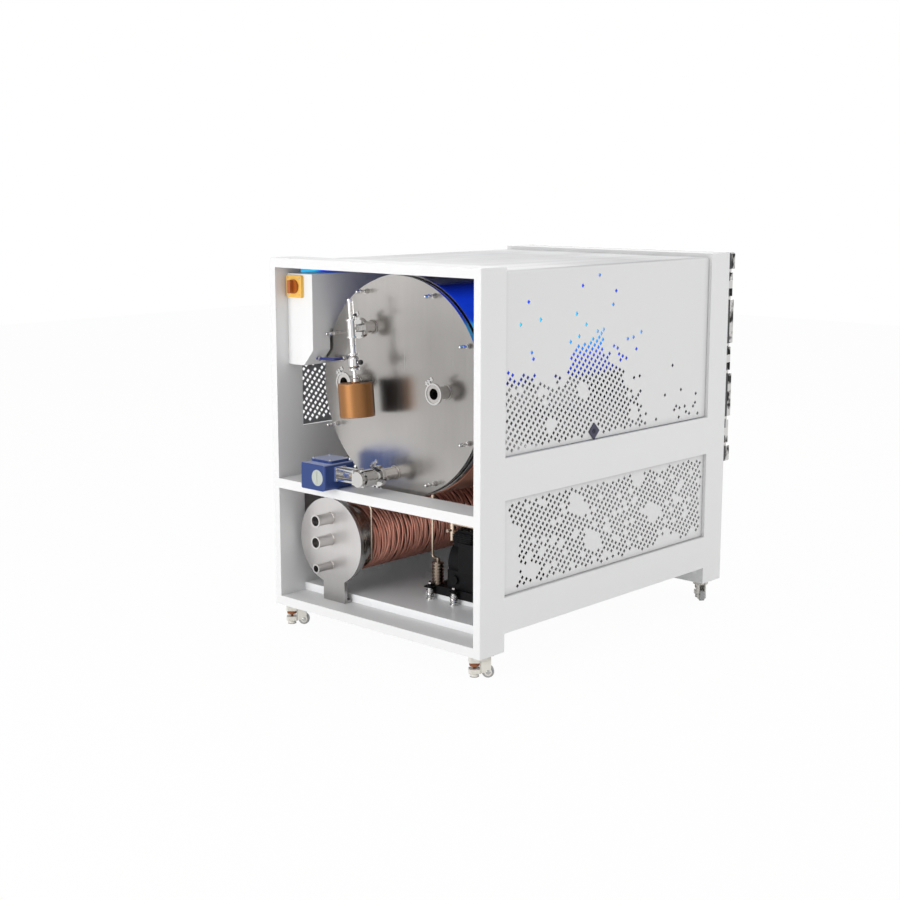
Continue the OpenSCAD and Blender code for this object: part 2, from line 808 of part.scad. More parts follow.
// ball valve in three bolted parts, a closing cap, and the bracket that carries the actuator
module drain_valve() {
    bracket_x = act_x0 - seat - drain_x;
    color(polished) translate([drain_x, y_valve, drain_z]) {
        y_bar(pipe_r + 8, 8);
        y_bar(pipe_r + 2, valve_l);
        translate([0, 12, 0]) y_bar(valve_r, valve_l - 26);
        for (a = [45 : 90 : 315]) rotate([0, a, 0]) translate([valve_r - 3, 8, 0])
            y_bar(4, valve_l - 18);
        translate([0, valve_l - 8, 0]) y_bar(pipe_r + 10, 8);
        translate([0, valve_l, 0]) y_bar(pipe_r + 12, cap_t);
    }
    color(polished) translate([drain_x, y_stem, drain_z]) {
        x_bar(9, bracket_x);
        translate([valve_r - 4, 0, 0]) x_bar(20, 12);
        for (x = [valve_r + 6, bracket_x - 8])
            block(x, x + 8, -26, 26, -26, 26);
        for (y = [-19, 19], z = [-19, 19]) translate([valve_r + 6, y, z])
            x_bar(4.5, bracket_x - valve_r - 6);
    }
}

indicator_r = 29;
indicator_x = act_x0 + 40;
indicator_z = act_z0 + 46;
indicator_in = 6;
module valve_actuator() {
    color(actuator_blue) difference() {
        union() {
            intersection() {
                translate([act_x0, act_y1, act_z0]) rotate([90, 0, 0])
                    linear_extrude(act_d) soft_square(act_w, act_h - act_lid, 12);
                translate([act_x0, act_y1 - act_d, act_z0])
                    linear_extrude(act_h) soft_square(act_w, act_d, 8);
            }
            // raised lid over the gears
            translate([act_x0 + 10, act_y1 - act_d + 8, act_z0 + act_h - act_lid - 2])
                linear_extrude(act_lid + 2) soft_square(act_w - 20, act_d - 46, 14);
        }
        translate([indicator_x, act_y1 - indicator_in, indicator_z])
            y_bar(indicator_r + run, indicator_in + 1);
    }
}

module valve_indicator() {
    color("#bcc0b8") translate([indicator_x, act_y1 - indicator_in + seat, indicator_z])
        difference() {
            y_bar(indicator_r, indicator_in - 1);
            translate([-3, indicator_in - 3, -indicator_r + 6]) cube([6, 4, 2 * indicator_r - 12]);
        }
}

// ------------------------------------------------------------ condenser

cond_x = in_x - 187;
cond_z = base + 262;
y_cond = y_service - 82;
cond_plate_t = 14;
stub_l = 74;
stub_lip = 3;
stub_lip_w = 4;
stubs = [[87, 21, 18.5], [6, 21, 18.5], [-92, 15, 12.5]];
foot_w = 112;

module condenser_end_plate() {
    color(grey) difference() {
        union() {
            translate([cond_x, y_cond - cond_plate_t, cond_z]) y_bar(cond_plate_r, cond_plate_t);
            // the plate runs down into a foot on the bottom rail
            block(cond_x - foot_w / 2 - 16, cond_x + foot_w / 2 - 16, y_cond - cond_plate_t, y_cond,
                  base + low_rail_h, cond_z - cond_plate_r + 30);
            block(cond_x - foot_w / 2 - 16, cond_x + foot_w / 2 - 16,
                  bay_back + deck_lip + seat, y_cond, base + low_rail_h, base + low_rail_h + 10);
            for (s = stubs) translate([cond_x, y_cond - 1, cond_z + s[0]]) {
                y_bar(s[1], stub_l + 1);
                translate([0, stub_l + 1 - stub_lip_w, 0]) y_bar(s[1] + stub_lip, stub_lip_w);
            }
        }
        for (s = stubs)
            translate([cond_x, y_cond - cond_plate_t - 1, cond_z + s[0]])
                y_bar(s[2], stub_l + cond_plate_t + 2);
    }
}

cond_flange_t = 18;
module condenser_shell() {
    y0 = y_cond - cond_plate_t;
    rear = y0 - cond_l;
    color(steel) {
        translate([cond_x, y0 - 8, cond_z]) y_bar(cond_plate_r - 26, 8);
        translate([cond_x, y0 - 8 - cond_flange_t, cond_z]) y_bar(cond_plate_r - 8, cond_flange_t);
        translate([cond_x, rear, cond_z]) y_bar(cond_r, cond_l);
        // dished rear end
        translate([cond_x, rear, cond_z]) rotate([90, 0, 0]) rotate_extrude()
            intersection() {
                translate([0, -cond_r * 1.3]) circle(cond_r * 1.64);
                square([cond_r, cond_r]);
            }
        // rear foot on the deck
        block(cond_x - 70, cond_x + 70, rear + 40, rear + 52, deck_top, cond_z - cond_r * 0.6);
        block(cond_x - 70, cond_x + 70, rear + 20, rear + 72, deck_top, deck_top + 8);
    }
}

coil_start = 100;
coil_tail = 50;
coil_slack = 0.8;
coil_turns = floor((cond_l - coil_start - coil_tail) / coil_d);
module condenser_coil() {
    color(copper) translate([cond_x, y_cond - coil_start, cond_z]) rotate([90, 0, 0])
        winding(cond_r + coil_slack, coil_d, coil_turns);
}

// ------------------------------------------------------------ compressor

comp_x = -(in_x - 255);
comp_y = bay_back - 270;
comp_z = deck_top + 51;
comp_r = 92;
comp_axis = 88;
head_z = 150;
head_h = 50;
base_x0 = -200;
base_x1 = 209;
base_half = 112;
base_flange = 31;
mount_x = [-170, 78, 196];
mount_y = base_half + 16;

// semi-hermetic body that lies along X on its sump
module compressor_body() {
    block(-60, 138, -96, 96, 0, 66);
    translate([-60, 0, comp_axis]) x_bar(comp_r, 198);
    // motor bell
    translate([-172, 0, comp_axis - 4]) x_bar(80, 114);
    translate([-188, 0, comp_axis - 4]) x_bar(60, 20);
    // bolted bearing cover
    translate([136, 0, comp_axis]) {
        x_bar(74, 12);
        translate([10, 0, 0]) x_bar(34, 16);
        for (a = [0 : 45 : 315]) rotate([a, 0, 0]) translate([10, 0, 62]) x_bar(6, 8);
    }
    // two cylinder heads with fins and bolted caps
    for (x = [-50, 46]) {
        block(x, x + 84, -70, 70, head_z, head_z + head_h);
        for (k = [0 : 4]) block(x - 4, x + 88, -75, 75, head_z + 14 + k * 7, head_z + 17 + k * 7);
        block(x + 6, x + 78, -60, 60, head_z + head_h - 1, head_z + head_h + 9);
        for (dx = [16, 68], dy = [-48, 0, 48])
            translate([x + dx, dy, head_z + head_h + 8]) cylinder(r = 6, h = 6);
    }
    // terminal box on the front and an oil glass below it
    block(-90, 60, 84, 112, 78, 172);
    block(-96, 66, 111, 116, 72, 178);
    translate([100, 92, 34]) y_bar(17, 14);
}

// the base is a folded tray on six spring mounts
module compressor() {
    color(dark) translate([comp_x, comp_y, comp_z]) {
        compressor_body();
        block(base_x0, base_x1, -base_half, base_half, -5, 0);
        for (y = [-base_half, base_half - 5])
            block(base_x0, base_x1, y, y + 5, -base_flange, 0);
        for (x = [base_x0, base_x1 - 5])
            block(x, x + 5, -base_half, base_half, -base_flange, 0);
        for (dx = mount_x, side = [-1, 1]) translate([dx, side * mount_y, 0]) {
            block(-17, 17, min(0, -side * 18) - 15 * (side > 0 ? 0 : 1),
                  max(0, -side * 18) + 15 * (side > 0 ? 1 : 0), -5, 0);
            translate([0, 0, -51]) cylinder(r = 15, h = 4);
            translate([0, 0, -48]) cylinder(r = 10, h = 44);
            translate([0, 0, -1]) cylinder(r = 9, h = 9);
            translate([0, 0, 6]) cylinder(r = 4, h = 12);
        }
    }
}

// hot-gas, suction and liquid lines with their filter and service valve
pipe_d = 6;
suction_r = 8;
canister_x = 192;
canister_y = 90;
canister_h = 84;
canister_r = 22;
service_x = 158;
service_y = 46;
suction_z = head_z + 76;

// level of the coils' underside at a distance from the middle
function coil_face(x) = chamber_z - sqrt(pow(shell_r + seat + coil_d + 3, 2) - pow(x, 2));

// bypass line from the condenser's side over to its crown
bypass_y = y_cond - 82;
bypass_r = 4;
bypass_bend = 16;
bypass_x = cond_x - cond_r - 15;
bypass_low = cond_z - 70;
bypass_top = cond_z + cond_r + 22;
module bypass_line() {
    wall_x = cond_x - sqrt(pow(cond_r, 2) - pow(cond_z - bypass_low - bypass_r, 2));
    translate([bypass_x + bypass_bend, bypass_y, bypass_low]) {
        x_bar(bypass_r, wall_x - bypass_x - bypass_bend - seat);
        elbow(bypass_bend, bypass_r);
    }
    translate([bypass_x, bypass_y, bypass_low + bypass_bend])
        cylinder(r = bypass_r, h = bypass_top - bypass_low - 2 * bypass_bend);
    translate([bypass_x + bypass_bend, bypass_y, bypass_top]) {
        mirror([0, 0, 1]) elbow(bypass_bend, bypass_r);
        x_bar(bypass_r, cond_x - bypass_x - 2 * bypass_bend);
    }
    translate([cond_x - bypass_bend, bypass_y, bypass_top])
        mirror([1, 0, 0]) mirror([0, 0, 1]) elbow(bypass_bend, bypass_r);
    translate([cond_x, bypass_y, cond_z + cond_r + seat])
        cylinder(r = bypass_r, h = bypass_top - bypass_bend - cond_z - cond_r - seat);
}

module refrigerant_pipes() {
    riser_x = canister_x + 26;
    suction_up_x = service_x - 144;
    color("#c9a58a") bypass_line();
    color("#c9a58a") translate([comp_x, comp_y, comp_z]) {
        // finned filter on the base, with the line that rises from it to the coils
        translate([canister_x, canister_y, 0]) {
            cylinder(r = canister_r - 5, h = canister_h);
            for (k = [0 : 6]) translate([0, 0, 4 + k * 12]) cylinder(r = canister_r, h = 5);
            translate([0, 0, canister_h - 1]) cylinder(r = 7, h = 14);
            translate([0, 0, canister_h + 12]) {
                sphere(pipe_d);
                x_bar(pipe_d, 14);
                translate([14, 0, 0]) mirror([1, 0, 0]) elbow(12, pipe_d);
            }
        }
        translate([riser_x, canister_y, canister_h + 24])
            cylinder(r = pipe_d, h = coil_face(-comp_x - riser_x - pipe_d) - seat - comp_z - canister_h - 24);
        // service valve beside the head, with its port, stem and side nipple
        translate([service_x, service_y, 0]) {
            translate([46 + 88 + seat - service_x, 0, head_z + 40]) {
                x_bar(13, 6);
                x_bar(8, service_x - 46 - 88);
            }
            translate([0, 0, head_z + 14]) cylinder(r = 13, h = 74);
            translate([0, 0, head_z + 86]) cylinder(r = 6, h = 14);
            translate([0, 0, head_z + 52]) rotate([0, 0, -30]) translate([-10, 0, 0]) x_bar(7, 38);
            translate([0, 0, head_z + 52]) y_bar(6, 30);
        }
        // suction line over the head, then up to the coils
        translate([suction_up_x + 26, service_y, suction_z]) {
            x_bar(suction_r, service_x - suction_up_x - 26);
            elbow(26, suction_r);
        }
        translate([suction_up_x, service_y, suction_z + 26]) cylinder(r = suction_r,
            h = coil_face(-comp_x - suction_up_x - suction_r) - seat - comp_z - suction_z - 26);
    }
}

// ------------------------------------------------------------ castors

castor_x = side_x - 50;
castor_inset = 62.5;
plate_w = 73;
plate_t = 4;
wheel_w = 20;
wheel_back = 24;
foot_front = 22;
axle_r = 3.5;
pad_r = 16;
pad_h = 12;
pad_lift = 3;
stem_r = 5;
dial_r = 17;
dial_h = 12;
housing_top = castor_h - plate_t - 1;
slot_top = housing_top - 25;
slot_low = slot_top - dial_h - foot_travel - 1;
kingpin_r = 6;

module castor_place(sx, sy) {
    translate([sx * castor_x, sy > 0 ? y_service - castor_inset : y_door + castor_inset, 0])
        rotate([0, 0, sy > 0 ? 45 : -sx * 45 - 90]) children();
}

module castor_plates() {
    color(steel) for (sx = [-1, 1], sy = [-1, 1])
        translate([sx * castor_x, sy > 0 ? y_service - castor_inset : y_door + castor_inset, 0]) {
            translate([-plate_w / 2, -plate_w / 2, castor_h - plate_t])
                linear_extrude(plate_t) soft_square(plate_w, plate_w, 6);
            // kingpin that the housing turns on
            translate([0, 0, castor_h - plate_t - 8]) cylinder(r = kingpin_r, h = 9);
        }
}

// housing: crown, two cheeks for the wheel and a slotted block round the foot's dial
module castor() {
    cheek_in = wheel_w / 2 + 0.6;
    cheek_out = cheek_in + 5;
    color("#e9e6dc") difference() {
        union() {
            translate([0, 0, housing_top - 14]) cylinder(r = 30, h = 14);
            for (s = [-1, 1]) scale([1, s, 1]) {
                block(-wheel_back - 10, 0, cheek_in, cheek_out, wheel_r - 2, housing_top - 2);
                translate([-wheel_back, cheek_in, wheel_r]) y_bar(13, cheek_out - cheek_in);
            }
            translate([-1, -19, pad_lift + pad_h + 1])
                linear_extrude(housing_top - pad_lift - pad_h - 1) soft_square(43, 38, 9);
        }
        translate([3.5, -25, slot_low]) cube([50, 50, slot_top - slot_low]);
        translate([0, 0, housing_top - 9]) cylinder(r = kingpin_r + run, h = 10);
        translate([-wheel_back, -30, wheel_r]) y_bar(axle_r + run, 60);
        translate([foot_front, 0, 0]) cylinder(r = stem_r + run, h = housing_top - 4);
        translate([-wheel_back, -cheek_in, wheel_r]) y_bar(wheel_r + 1.2, 2 * cheek_in);
    }
}

module wheel() {
    color("#8b8c8e") translate([-wheel_back, 0, wheel_r]) {
        translate([0, -wheel_w / 2, 0]) rotate([-90, 0, 0]) rotate_extrude() polygon([
            [0, 2], [11, 2], [11, 0], [wheel_r - 2, 0], [wheel_r, 2],
            [wheel_r, wheel_w - 2], [wheel_r - 2, wheel_w], [11, wheel_w], [11, wheel_w - 2],
            [0, wheel_w - 2]
        ]);
        translate([0, -wheel_w / 2 - 5.4, 0]) y_bar(axle_r, wheel_w + 10.8);
    }
}

// pad, stem and the thumb dial that drives them
module foot() {
    color("#d9772b") translate([foot_front, 0, 0]) {
        translate([0, 0, pad_lift]) rotate_extrude() polygon([
            [0, 0], [pad_r, 0], [pad_r, 4], [pad_r - 3, pad_h], [0, pad_h]
        ]);
        translate([0, 0, pad_lift + 5]) cylinder(r = stem_r, h = housing_top - pad_lift - 10);
        translate([0, 0, slot_top - dial_h - 0.5]) cylinder(r = dial_r, h = dial_h);
    }
}

module castor_service_left() { castor_place(-1, 1) castor(); }
module castor_service_right() { castor_place(1, 1) castor(); }
module castor_door_left() { castor_place(-1, -1) castor(); }
module castor_door_right() { castor_place(1, -1) castor(); }
module wheel_service_left() { castor_place(-1, 1) wheel(); }
module wheel_service_right() { castor_place(1, 1) wheel(); }
module wheel_door_left() { castor_place(-1, -1) wheel(); }
module wheel_door_right() { castor_place(1, -1) wheel(); }
module foot_service_left() { castor_place(-1, 1) foot(); }
module foot_service_right() { castor_place(1, 1) foot(); }
module foot_door_left() { castor_place(-1, -1) foot(); }
module foot_door_right() { castor_place(1, -1) foot(); }

post_service_left();
post_service_right();
post_door_left();
post_door_right();
side_mid_rails();
side_sills();
service_top_rail();
service_mid_rail();
service_bottom_rail();
door_top_rail();
door_bottom_rail();
cover_left();
cover_right();
grille_left();
grille_right();
blue_liners();
deck();
front_plate();
lock_plates();
lock_left();
lock_right();
chamber_shell();
chamber_end_plate();
chamber_coil();
chamber_saddles();
shelf_rack();
shelves();
door_plate();
door_frame();
door_gasket();
door_brackets();
door_latch();
electrical_box();
isolator_plate();
isolator_knob();
vent_stack();
vent_filter();
pipe_clamps();
drain_pipe();
drain_valve();
valve_actuator();
valve_indicator();
condenser_shell();
condenser_end_plate();
condenser_coil();
compressor();
refrigerant_pipes();
castor_plates();
castor_service_left();
castor_service_right();
castor_door_left();
castor_door_right();
wheel_service_left();
wheel_service_right();
wheel_door_left();
wheel_door_right();
foot_service_left();
foot_service_right();
foot_door_left();
foot_door_right();
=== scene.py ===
import bpy
import bmesh
import math
import random
from mathutils import Matrix, Vector


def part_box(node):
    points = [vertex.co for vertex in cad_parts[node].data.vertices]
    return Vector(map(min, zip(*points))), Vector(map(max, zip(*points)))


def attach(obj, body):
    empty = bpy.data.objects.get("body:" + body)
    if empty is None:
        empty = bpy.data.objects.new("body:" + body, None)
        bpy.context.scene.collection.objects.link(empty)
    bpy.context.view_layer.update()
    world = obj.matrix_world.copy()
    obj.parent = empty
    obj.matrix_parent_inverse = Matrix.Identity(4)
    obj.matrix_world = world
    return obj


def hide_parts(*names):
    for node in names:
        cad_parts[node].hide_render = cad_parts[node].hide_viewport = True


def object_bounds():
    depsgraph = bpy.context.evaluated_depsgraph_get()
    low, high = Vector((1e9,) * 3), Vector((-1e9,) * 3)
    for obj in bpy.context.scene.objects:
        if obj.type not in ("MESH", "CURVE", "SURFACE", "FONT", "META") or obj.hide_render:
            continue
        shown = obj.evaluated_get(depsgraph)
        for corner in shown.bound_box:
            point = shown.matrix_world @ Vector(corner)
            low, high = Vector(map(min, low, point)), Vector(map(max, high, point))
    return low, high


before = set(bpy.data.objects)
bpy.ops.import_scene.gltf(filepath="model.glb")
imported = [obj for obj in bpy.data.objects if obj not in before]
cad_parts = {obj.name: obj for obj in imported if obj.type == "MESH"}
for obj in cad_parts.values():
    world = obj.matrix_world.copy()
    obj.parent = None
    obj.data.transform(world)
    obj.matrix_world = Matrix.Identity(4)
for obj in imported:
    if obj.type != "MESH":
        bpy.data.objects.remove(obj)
cadLow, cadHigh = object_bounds()
scene = bpy.context.scene
random.seed(7)
print("frame loaded with", len(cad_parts), "nodes")

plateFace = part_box("chamber_shell")[1].y + 0.023  # outer face of the chamber's end plate

# node helpers; tree is the node tree of a world, a group or a material


def mathNode(tree, operation, *given, clamp=False):
    # one arithmetic node; each input is a number or a socket
    node = tree.nodes.new("ShaderNodeMath")
    node.operation = operation
    node.use_clamp = clamp
    for socket, value in zip(node.inputs, given):
        if isinstance(value, bpy.types.NodeSocket):
            tree.links.new(value, socket)
        else:
            socket.default_value = value
    return node.outputs[0]


def ramped(tree, value, zeroAt, oneAt):
    # 0 where the socket has its first value, 1 where it has the second
    node = tree.nodes.new("ShaderNodeMapRange")
    node.inputs["From Min"].default_value = zeroAt
    node.inputs["From Max"].default_value = oneAt
    tree.links.new(value, node.inputs["Value"])
    return node.outputs["Result"]


def splitAxes(tree, source):
    split = tree.nodes.new("ShaderNodeSeparateXYZ")
    tree.links.new(source, split.inputs[0])
    return split.outputs


def partAxes(tree):
    # X, Y and Z on the piece itself, in metres
    return splitAxes(tree, tree.nodes.new("ShaderNodeTexCoord").outputs["Object"])


def facingAxes(tree):
    # X, Y and Z of the way a face looks
    return splitAxes(tree, tree.nodes.new("ShaderNodeNewGeometry").outputs["Normal"])


# camera, lamps, world and floor

studio = {
    "cameraPlace": (-3.7487, 4.3721, 1.6658),
    "cameraYaw": -47.262,  # degrees from +X, looking over the near service corner
    "cameraPitch": 10.109,  # degrees below level
    "lens": 60.86,
    "worldGrey": 0.62,
    "metalSky": 0.95,
    "floorSize": 24.0,
    "floorWhite": 0.88,
    "floorGlow": 0.96,  # how much of the floor reads as plain backdrop
    "lamps": {
        "serviceLamp": ((0.5, 5.4, 1.3), 2.8, 120.0),
        "sideLamp": ((-5.0, -0.8, 2.4), 3.2, 52.0),
        "topLamp": ((0.4, 0.4, 4.6), 3.6, 34.0),
        "backLamp": ((3.6, -4.6, 2.8), 3.0, 22.0),
    },
}


def makeCamera():
    data = bpy.data.cameras.new("mainCamera")
    data.lens = studio["lens"]
    data.clip_end = 60
    camera = bpy.data.objects.new("mainCamera", data)
    camera.location = studio["cameraPlace"]
    yaw = math.radians(studio["cameraYaw"] - 90)
    camera.rotation_euler = (math.radians(90 - studio["cameraPitch"]), 0, yaw)
    scene.collection.objects.link(camera)
    scene.camera = camera


def makeLamps():
    aim = (cadLow + cadHigh) / 2
    for name, (place, size, power) in studio["lamps"].items():
        data = bpy.data.lights.new(name, "AREA")
        data.shape = "SQUARE"
        data.size = size
        data.energy = power
        lamp = bpy.data.objects.new(name, data)
        lamp.location = place
        lamp.rotation_euler = (aim - Vector(place)).to_track_quat("-Z", "Y").to_euler()
        scene.collection.objects.link(lamp)


def makeWorld():
    world = bpy.data.worlds.new("softRoom")
    scene.world = world
    world.use_nodes = True
    tree = world.node_tree
    rays = tree.nodes.new("ShaderNodeLightPath").outputs
    seen = mathNode(tree, "MAXIMUM", rays["Is Camera Ray"], rays["Is Transmission Ray"])
    level = tree.nodes.new("ShaderNodeMix")
    level.inputs["A"].default_value = studio["worldGrey"]
    level.inputs["B"].default_value = 1.0
    tree.links.new(seen, level.inputs["Factor"])
    metal = tree.nodes.new("ShaderNodeMix")
    metal.inputs["B"].default_value = studio["metalSky"]
    tree.links.new(level.outputs["Result"], metal.inputs["A"])
    tree.links.new(rays["Is Glossy Ray"], metal.inputs["Factor"])
    sky = tree.nodes["Background"]
    sky.inputs["Color"].default_value = (1, 1, 1, 1)
    tree.links.new(metal.outputs["Result"], sky.inputs["Strength"])


def makeFloor():
    bm = bmesh.new()
    bmesh.ops.create_grid(bm, x_segments=1, y_segments=1, size=studio["floorSize"] / 2)
    mesh = bpy.data.meshes.new("studioFloor")
    bm.to_mesh(mesh)
    bm.free()
    floor = bpy.data.objects.new("studioFloor", mesh)
    scene.collection.objects.link(floor)
    material = bpy.data.materials.new("paleFloor")
    material.use_nodes = True
    tree = material.node_tree
    base = tree.nodes["Principled BSDF"]
    white = studio["floorWhite"]
    base.inputs["Base Color"].default_value = (white, white, white, 1)
    base.inputs["Roughness"].default_value = 0.9
    glow = tree.nodes.new("ShaderNodeEmission")
    glow.inputs["Strength"].default_value = 1.0
    rays = tree.nodes.new("ShaderNodeLightPath").outputs
    seen = mathNode(tree, "MAXIMUM", rays["Is Camera Ray"], rays["Is Glossy Ray"])
    mixed = tree.nodes.new("ShaderNodeMixShader")
    tree.links.new(mathNode(tree, "MULTIPLY", seen, studio["floorGlow"]), mixed.inputs["Fac"])
    tree.links.new(base.outputs[0], mixed.inputs[1])
    tree.links.new(glow.outputs[0], mixed.inputs[2])
    tree.links.new(mixed.outputs[0], tree.nodes["Material Output"].inputs["Surface"])
    mesh.materials.append(material)


scene.view_settings.view_transform = "Standard"
makeCamera()
makeLamps()
makeWorld()
makeFloor()
print("stage set")

# shader groups that several finishes share


def startGroup(name, ins, outs):
    # an empty node group with named sockets; ins maps a name to its type and default
    tree = bpy.data.node_groups.new(name, "ShaderNodeTree")
    for label, (kind, value) in ins.items():
        socket = tree.interface.new_socket(name=label, in_out="INPUT", socket_type=kind)
        socket.default_value = value
    for label in outs:
        tree.interface.new_socket(name=label, in_out="OUTPUT", socket_type="NodeSocketFloat")
    return tree, tree.nodes.new("NodeGroupInput"), tree.nodes.new("NodeGroupOutput")


def makeGrainGroup():
    # streaks or specks on object coordinates: Tone swings about 1, Height is 0 to 1
    tree, given, out = startGroup(
        "fineGrain",
        {
            "Stretch": ("NodeSocketVector", (1, 1, 1)),
            "Size": ("NodeSocketFloat", 200.0),
            "Contrast": ("NodeSocketFloat", 0.1),
        },
        ["Tone", "Height"],
    )
    place = tree.nodes.new("ShaderNodeTexCoord")
    pull = tree.nodes.new("ShaderNodeVectorMath")
    pull.operation = "MULTIPLY"
    tree.links.new(place.outputs["Object"], pull.inputs[0])
    tree.links.new(given.outputs["Stretch"], pull.inputs[1])
    noise = tree.nodes.new("ShaderNodeTexNoise")
    noise.inputs["Detail"].default_value = 4
    noise.inputs["Roughness"].default_value = 0.6
    tree.links.new(pull.outputs[0], noise.inputs["Vector"])
    tree.links.new(given.outputs["Size"], noise.inputs["Scale"])
    swing = mathNode(tree, "SUBTRACT", noise.outputs["Fac"], 0.5)
    tone = mathNode(tree, "MULTIPLY_ADD", swing, given.outputs["Contrast"], 1.0)
    tree.links.new(tone, out.inputs["Tone"])
    tree.links.new(noise.outputs["Fac"], out.inputs["Height"])
    return tree


def makeCloudGroup():
    # soft blotches, 0 to 1, for handling marks and uneven coats
    tree, given, out = startGroup(
        "softClouds",
        {"Size": ("NodeSocketFloat", 6.0), "Sharpness": ("NodeSocketFloat", 2.0)},
        ["Mask"],
    )
    place = tree.nodes.new("ShaderNodeTexCoord")
    noise = tree.nodes.new("ShaderNodeTexNoise")
    noise.inputs["Detail"].default_value = 3
    tree.links.new(place.outputs["Object"], noise.inputs["Vector"])
    tree.links.new(given.outputs["Size"], noise.inputs["Scale"])
    swing = mathNode(tree, "SUBTRACT", noise.outputs["Fac"], 0.5)
    mask = mathNode(tree, "MULTIPLY_ADD", swing, given.outputs["Sharpness"], 0.5, clamp=True)
    tree.links.new(mask, out.inputs["Mask"])
    return tree


def makeCreviceGroup():
    # 1 in corners and joints, 0 in the open
    tree, given, out = startGroup(
        "creviceShade", {"Reach": ("NodeSocketFloat", 0.02)}, ["Mask"]
    )
    cover = tree.nodes.new("ShaderNodeAmbientOcclusion")
    cover.samples = 6
    tree.links.new(given.outputs["Reach"], cover.inputs["Distance"])
    mask = mathNode(tree, "SUBTRACT", 1.0, cover.outputs["AO"], clamp=True)
    tree.links.new(mask, out.inputs["Mask"])
    return tree


def makeEdgeGroup():
    # 1 along sharp edges, where coatings and polish catch the light
    tree, given, out = startGroup("edgeCatch", {"Radius": ("NodeSocketFloat", 0.002)}, ["Mask"])
    rounded = tree.nodes.new("ShaderNodeBevel")
    rounded.samples = 4
    tree.links.new(given.outputs["Radius"], rounded.inputs["Radius"])
    flat = tree.nodes.new("ShaderNodeNewGeometry")
    match = tree.nodes.new("ShaderNodeVectorMath")
    match.operation = "DOT_PRODUCT"
    tree.links.new(rounded.outputs["Normal"], match.inputs[0])
    tree.links.new(flat.outputs["Normal"], match.inputs[1])
    tree.links.new(ramped(tree, match.outputs["Value"], 0.995, 0.9), out.inputs["Mask"])
    return tree


groups = {
    "grain": makeGrainGroup(),
    "clouds": makeCloudGroup(),
    "crevice": makeCreviceGroup(),
    "edge": makeEdgeGroup(),
}


def newFinish(name, roughness, metallic=0.0, coat=0.0):
    material = bpy.data.materials.new(name)
    material.use_nodes = True
    shader = material.node_tree.nodes["Principled BSDF"]
    shader.inputs["Roughness"].default_value = roughness
    shader.inputs["Metallic"].default_value = metallic
    shader.inputs["Coat Weight"].default_value = coat
    return material, shader


def addGroup(material, kind, **values):
    node = material.node_tree.nodes.new("ShaderNodeGroup")
    node.node_tree = groups[kind]
    for label, value in values.items():
        node.inputs[label].default_value = value
    return node


def mixColours(material, mask, first, second):
    # first where the mask is 0, second where it is 1; each is a colour or a socket
    node = material.node_tree.nodes.new("ShaderNodeMix")
    node.data_type = "RGBA"
    links = material.node_tree.links
    links.new(mask, node.inputs["Factor"])
    for socket, given in ((node.inputs["A"], first), (node.inputs["B"], second)):
        if isinstance(given, bpy.types.NodeSocket):
            links.new(given, socket)
        else:
            socket.default_value = (*given, 1)
    return node.outputs["Result"]


def toneColour(material, colour, tone):
    # multiplies a colour or a colour socket by a value about 1, or by a ramp's colour
    node = material.node_tree.nodes.new("ShaderNodeMix")
    node.data_type = "RGBA"
    node.blend_type = "MULTIPLY"
    node.clamp_result = False
    node.inputs["Factor"].default_value = 1.0
    links = material.node_tree.links
    if isinstance(colour, bpy.types.NodeSocket):
        links.new(colour, node.inputs["A"])
    else:
        node.inputs["A"].default_value = (*colour, 1)
    links.new(tone, node.inputs["B"])
    return node.outputs["Result"]


def spread(material, mask, low, high):
    # maps a 0 to 1 mask to a span of values
    node = material.node_tree.nodes.new("ShaderNodeMapRange")
    node.inputs["To Min"].default_value = low
    node.inputs["To Max"].default_value = high
    material.node_tree.links.new(mask, node.inputs["Value"])
    return node.outputs["Result"]


def addBump(material, shader, height, strength, distance):
    node = material.node_tree.nodes.new("ShaderNodeBump")
    node.inputs["Strength"].default_value = strength
    node.inputs["Distance"].default_value = distance
    material.node_tree.links.new(height, node.inputs["Height"])
    material.node_tree.links.new(node.outputs["Normal"], shader.inputs["Normal"])


def coatedSteel(name, colour, roughness=0.42, peel=0.12, shade=0.82):
    # powder coat: fine orange peel, with painted shade in the corners
    material, shader = newFinish(name, roughness)
    links = material.node_tree.links
    grain = addGroup(material, "grain", Size=420.0, Contrast=0.03)
    clouds = addGroup(material, "clouds", Size=3.0, Sharpness=1.6)
    crevice = addGroup(material, "crevice", Reach=0.03)
    # painted shade: the coat is darkened where the crevice mask finds corners and joints
    mottleAndShade = tuple(c * shade for c in colour)
    paint = mixColours(material, crevice.outputs["Mask"], colour, mottleAndShade)
    links.new(toneColour(material, paint, grain.outputs["Tone"]), shader.inputs["Base Color"])
    rough = spread(material, clouds.outputs["Mask"], roughness - 0.05, roughness + 0.06)
    links.new(rough, shader.inputs["Roughness"])
    addBump(material, shader, grain.outputs["Height"], peel, 0.0003)
    return material


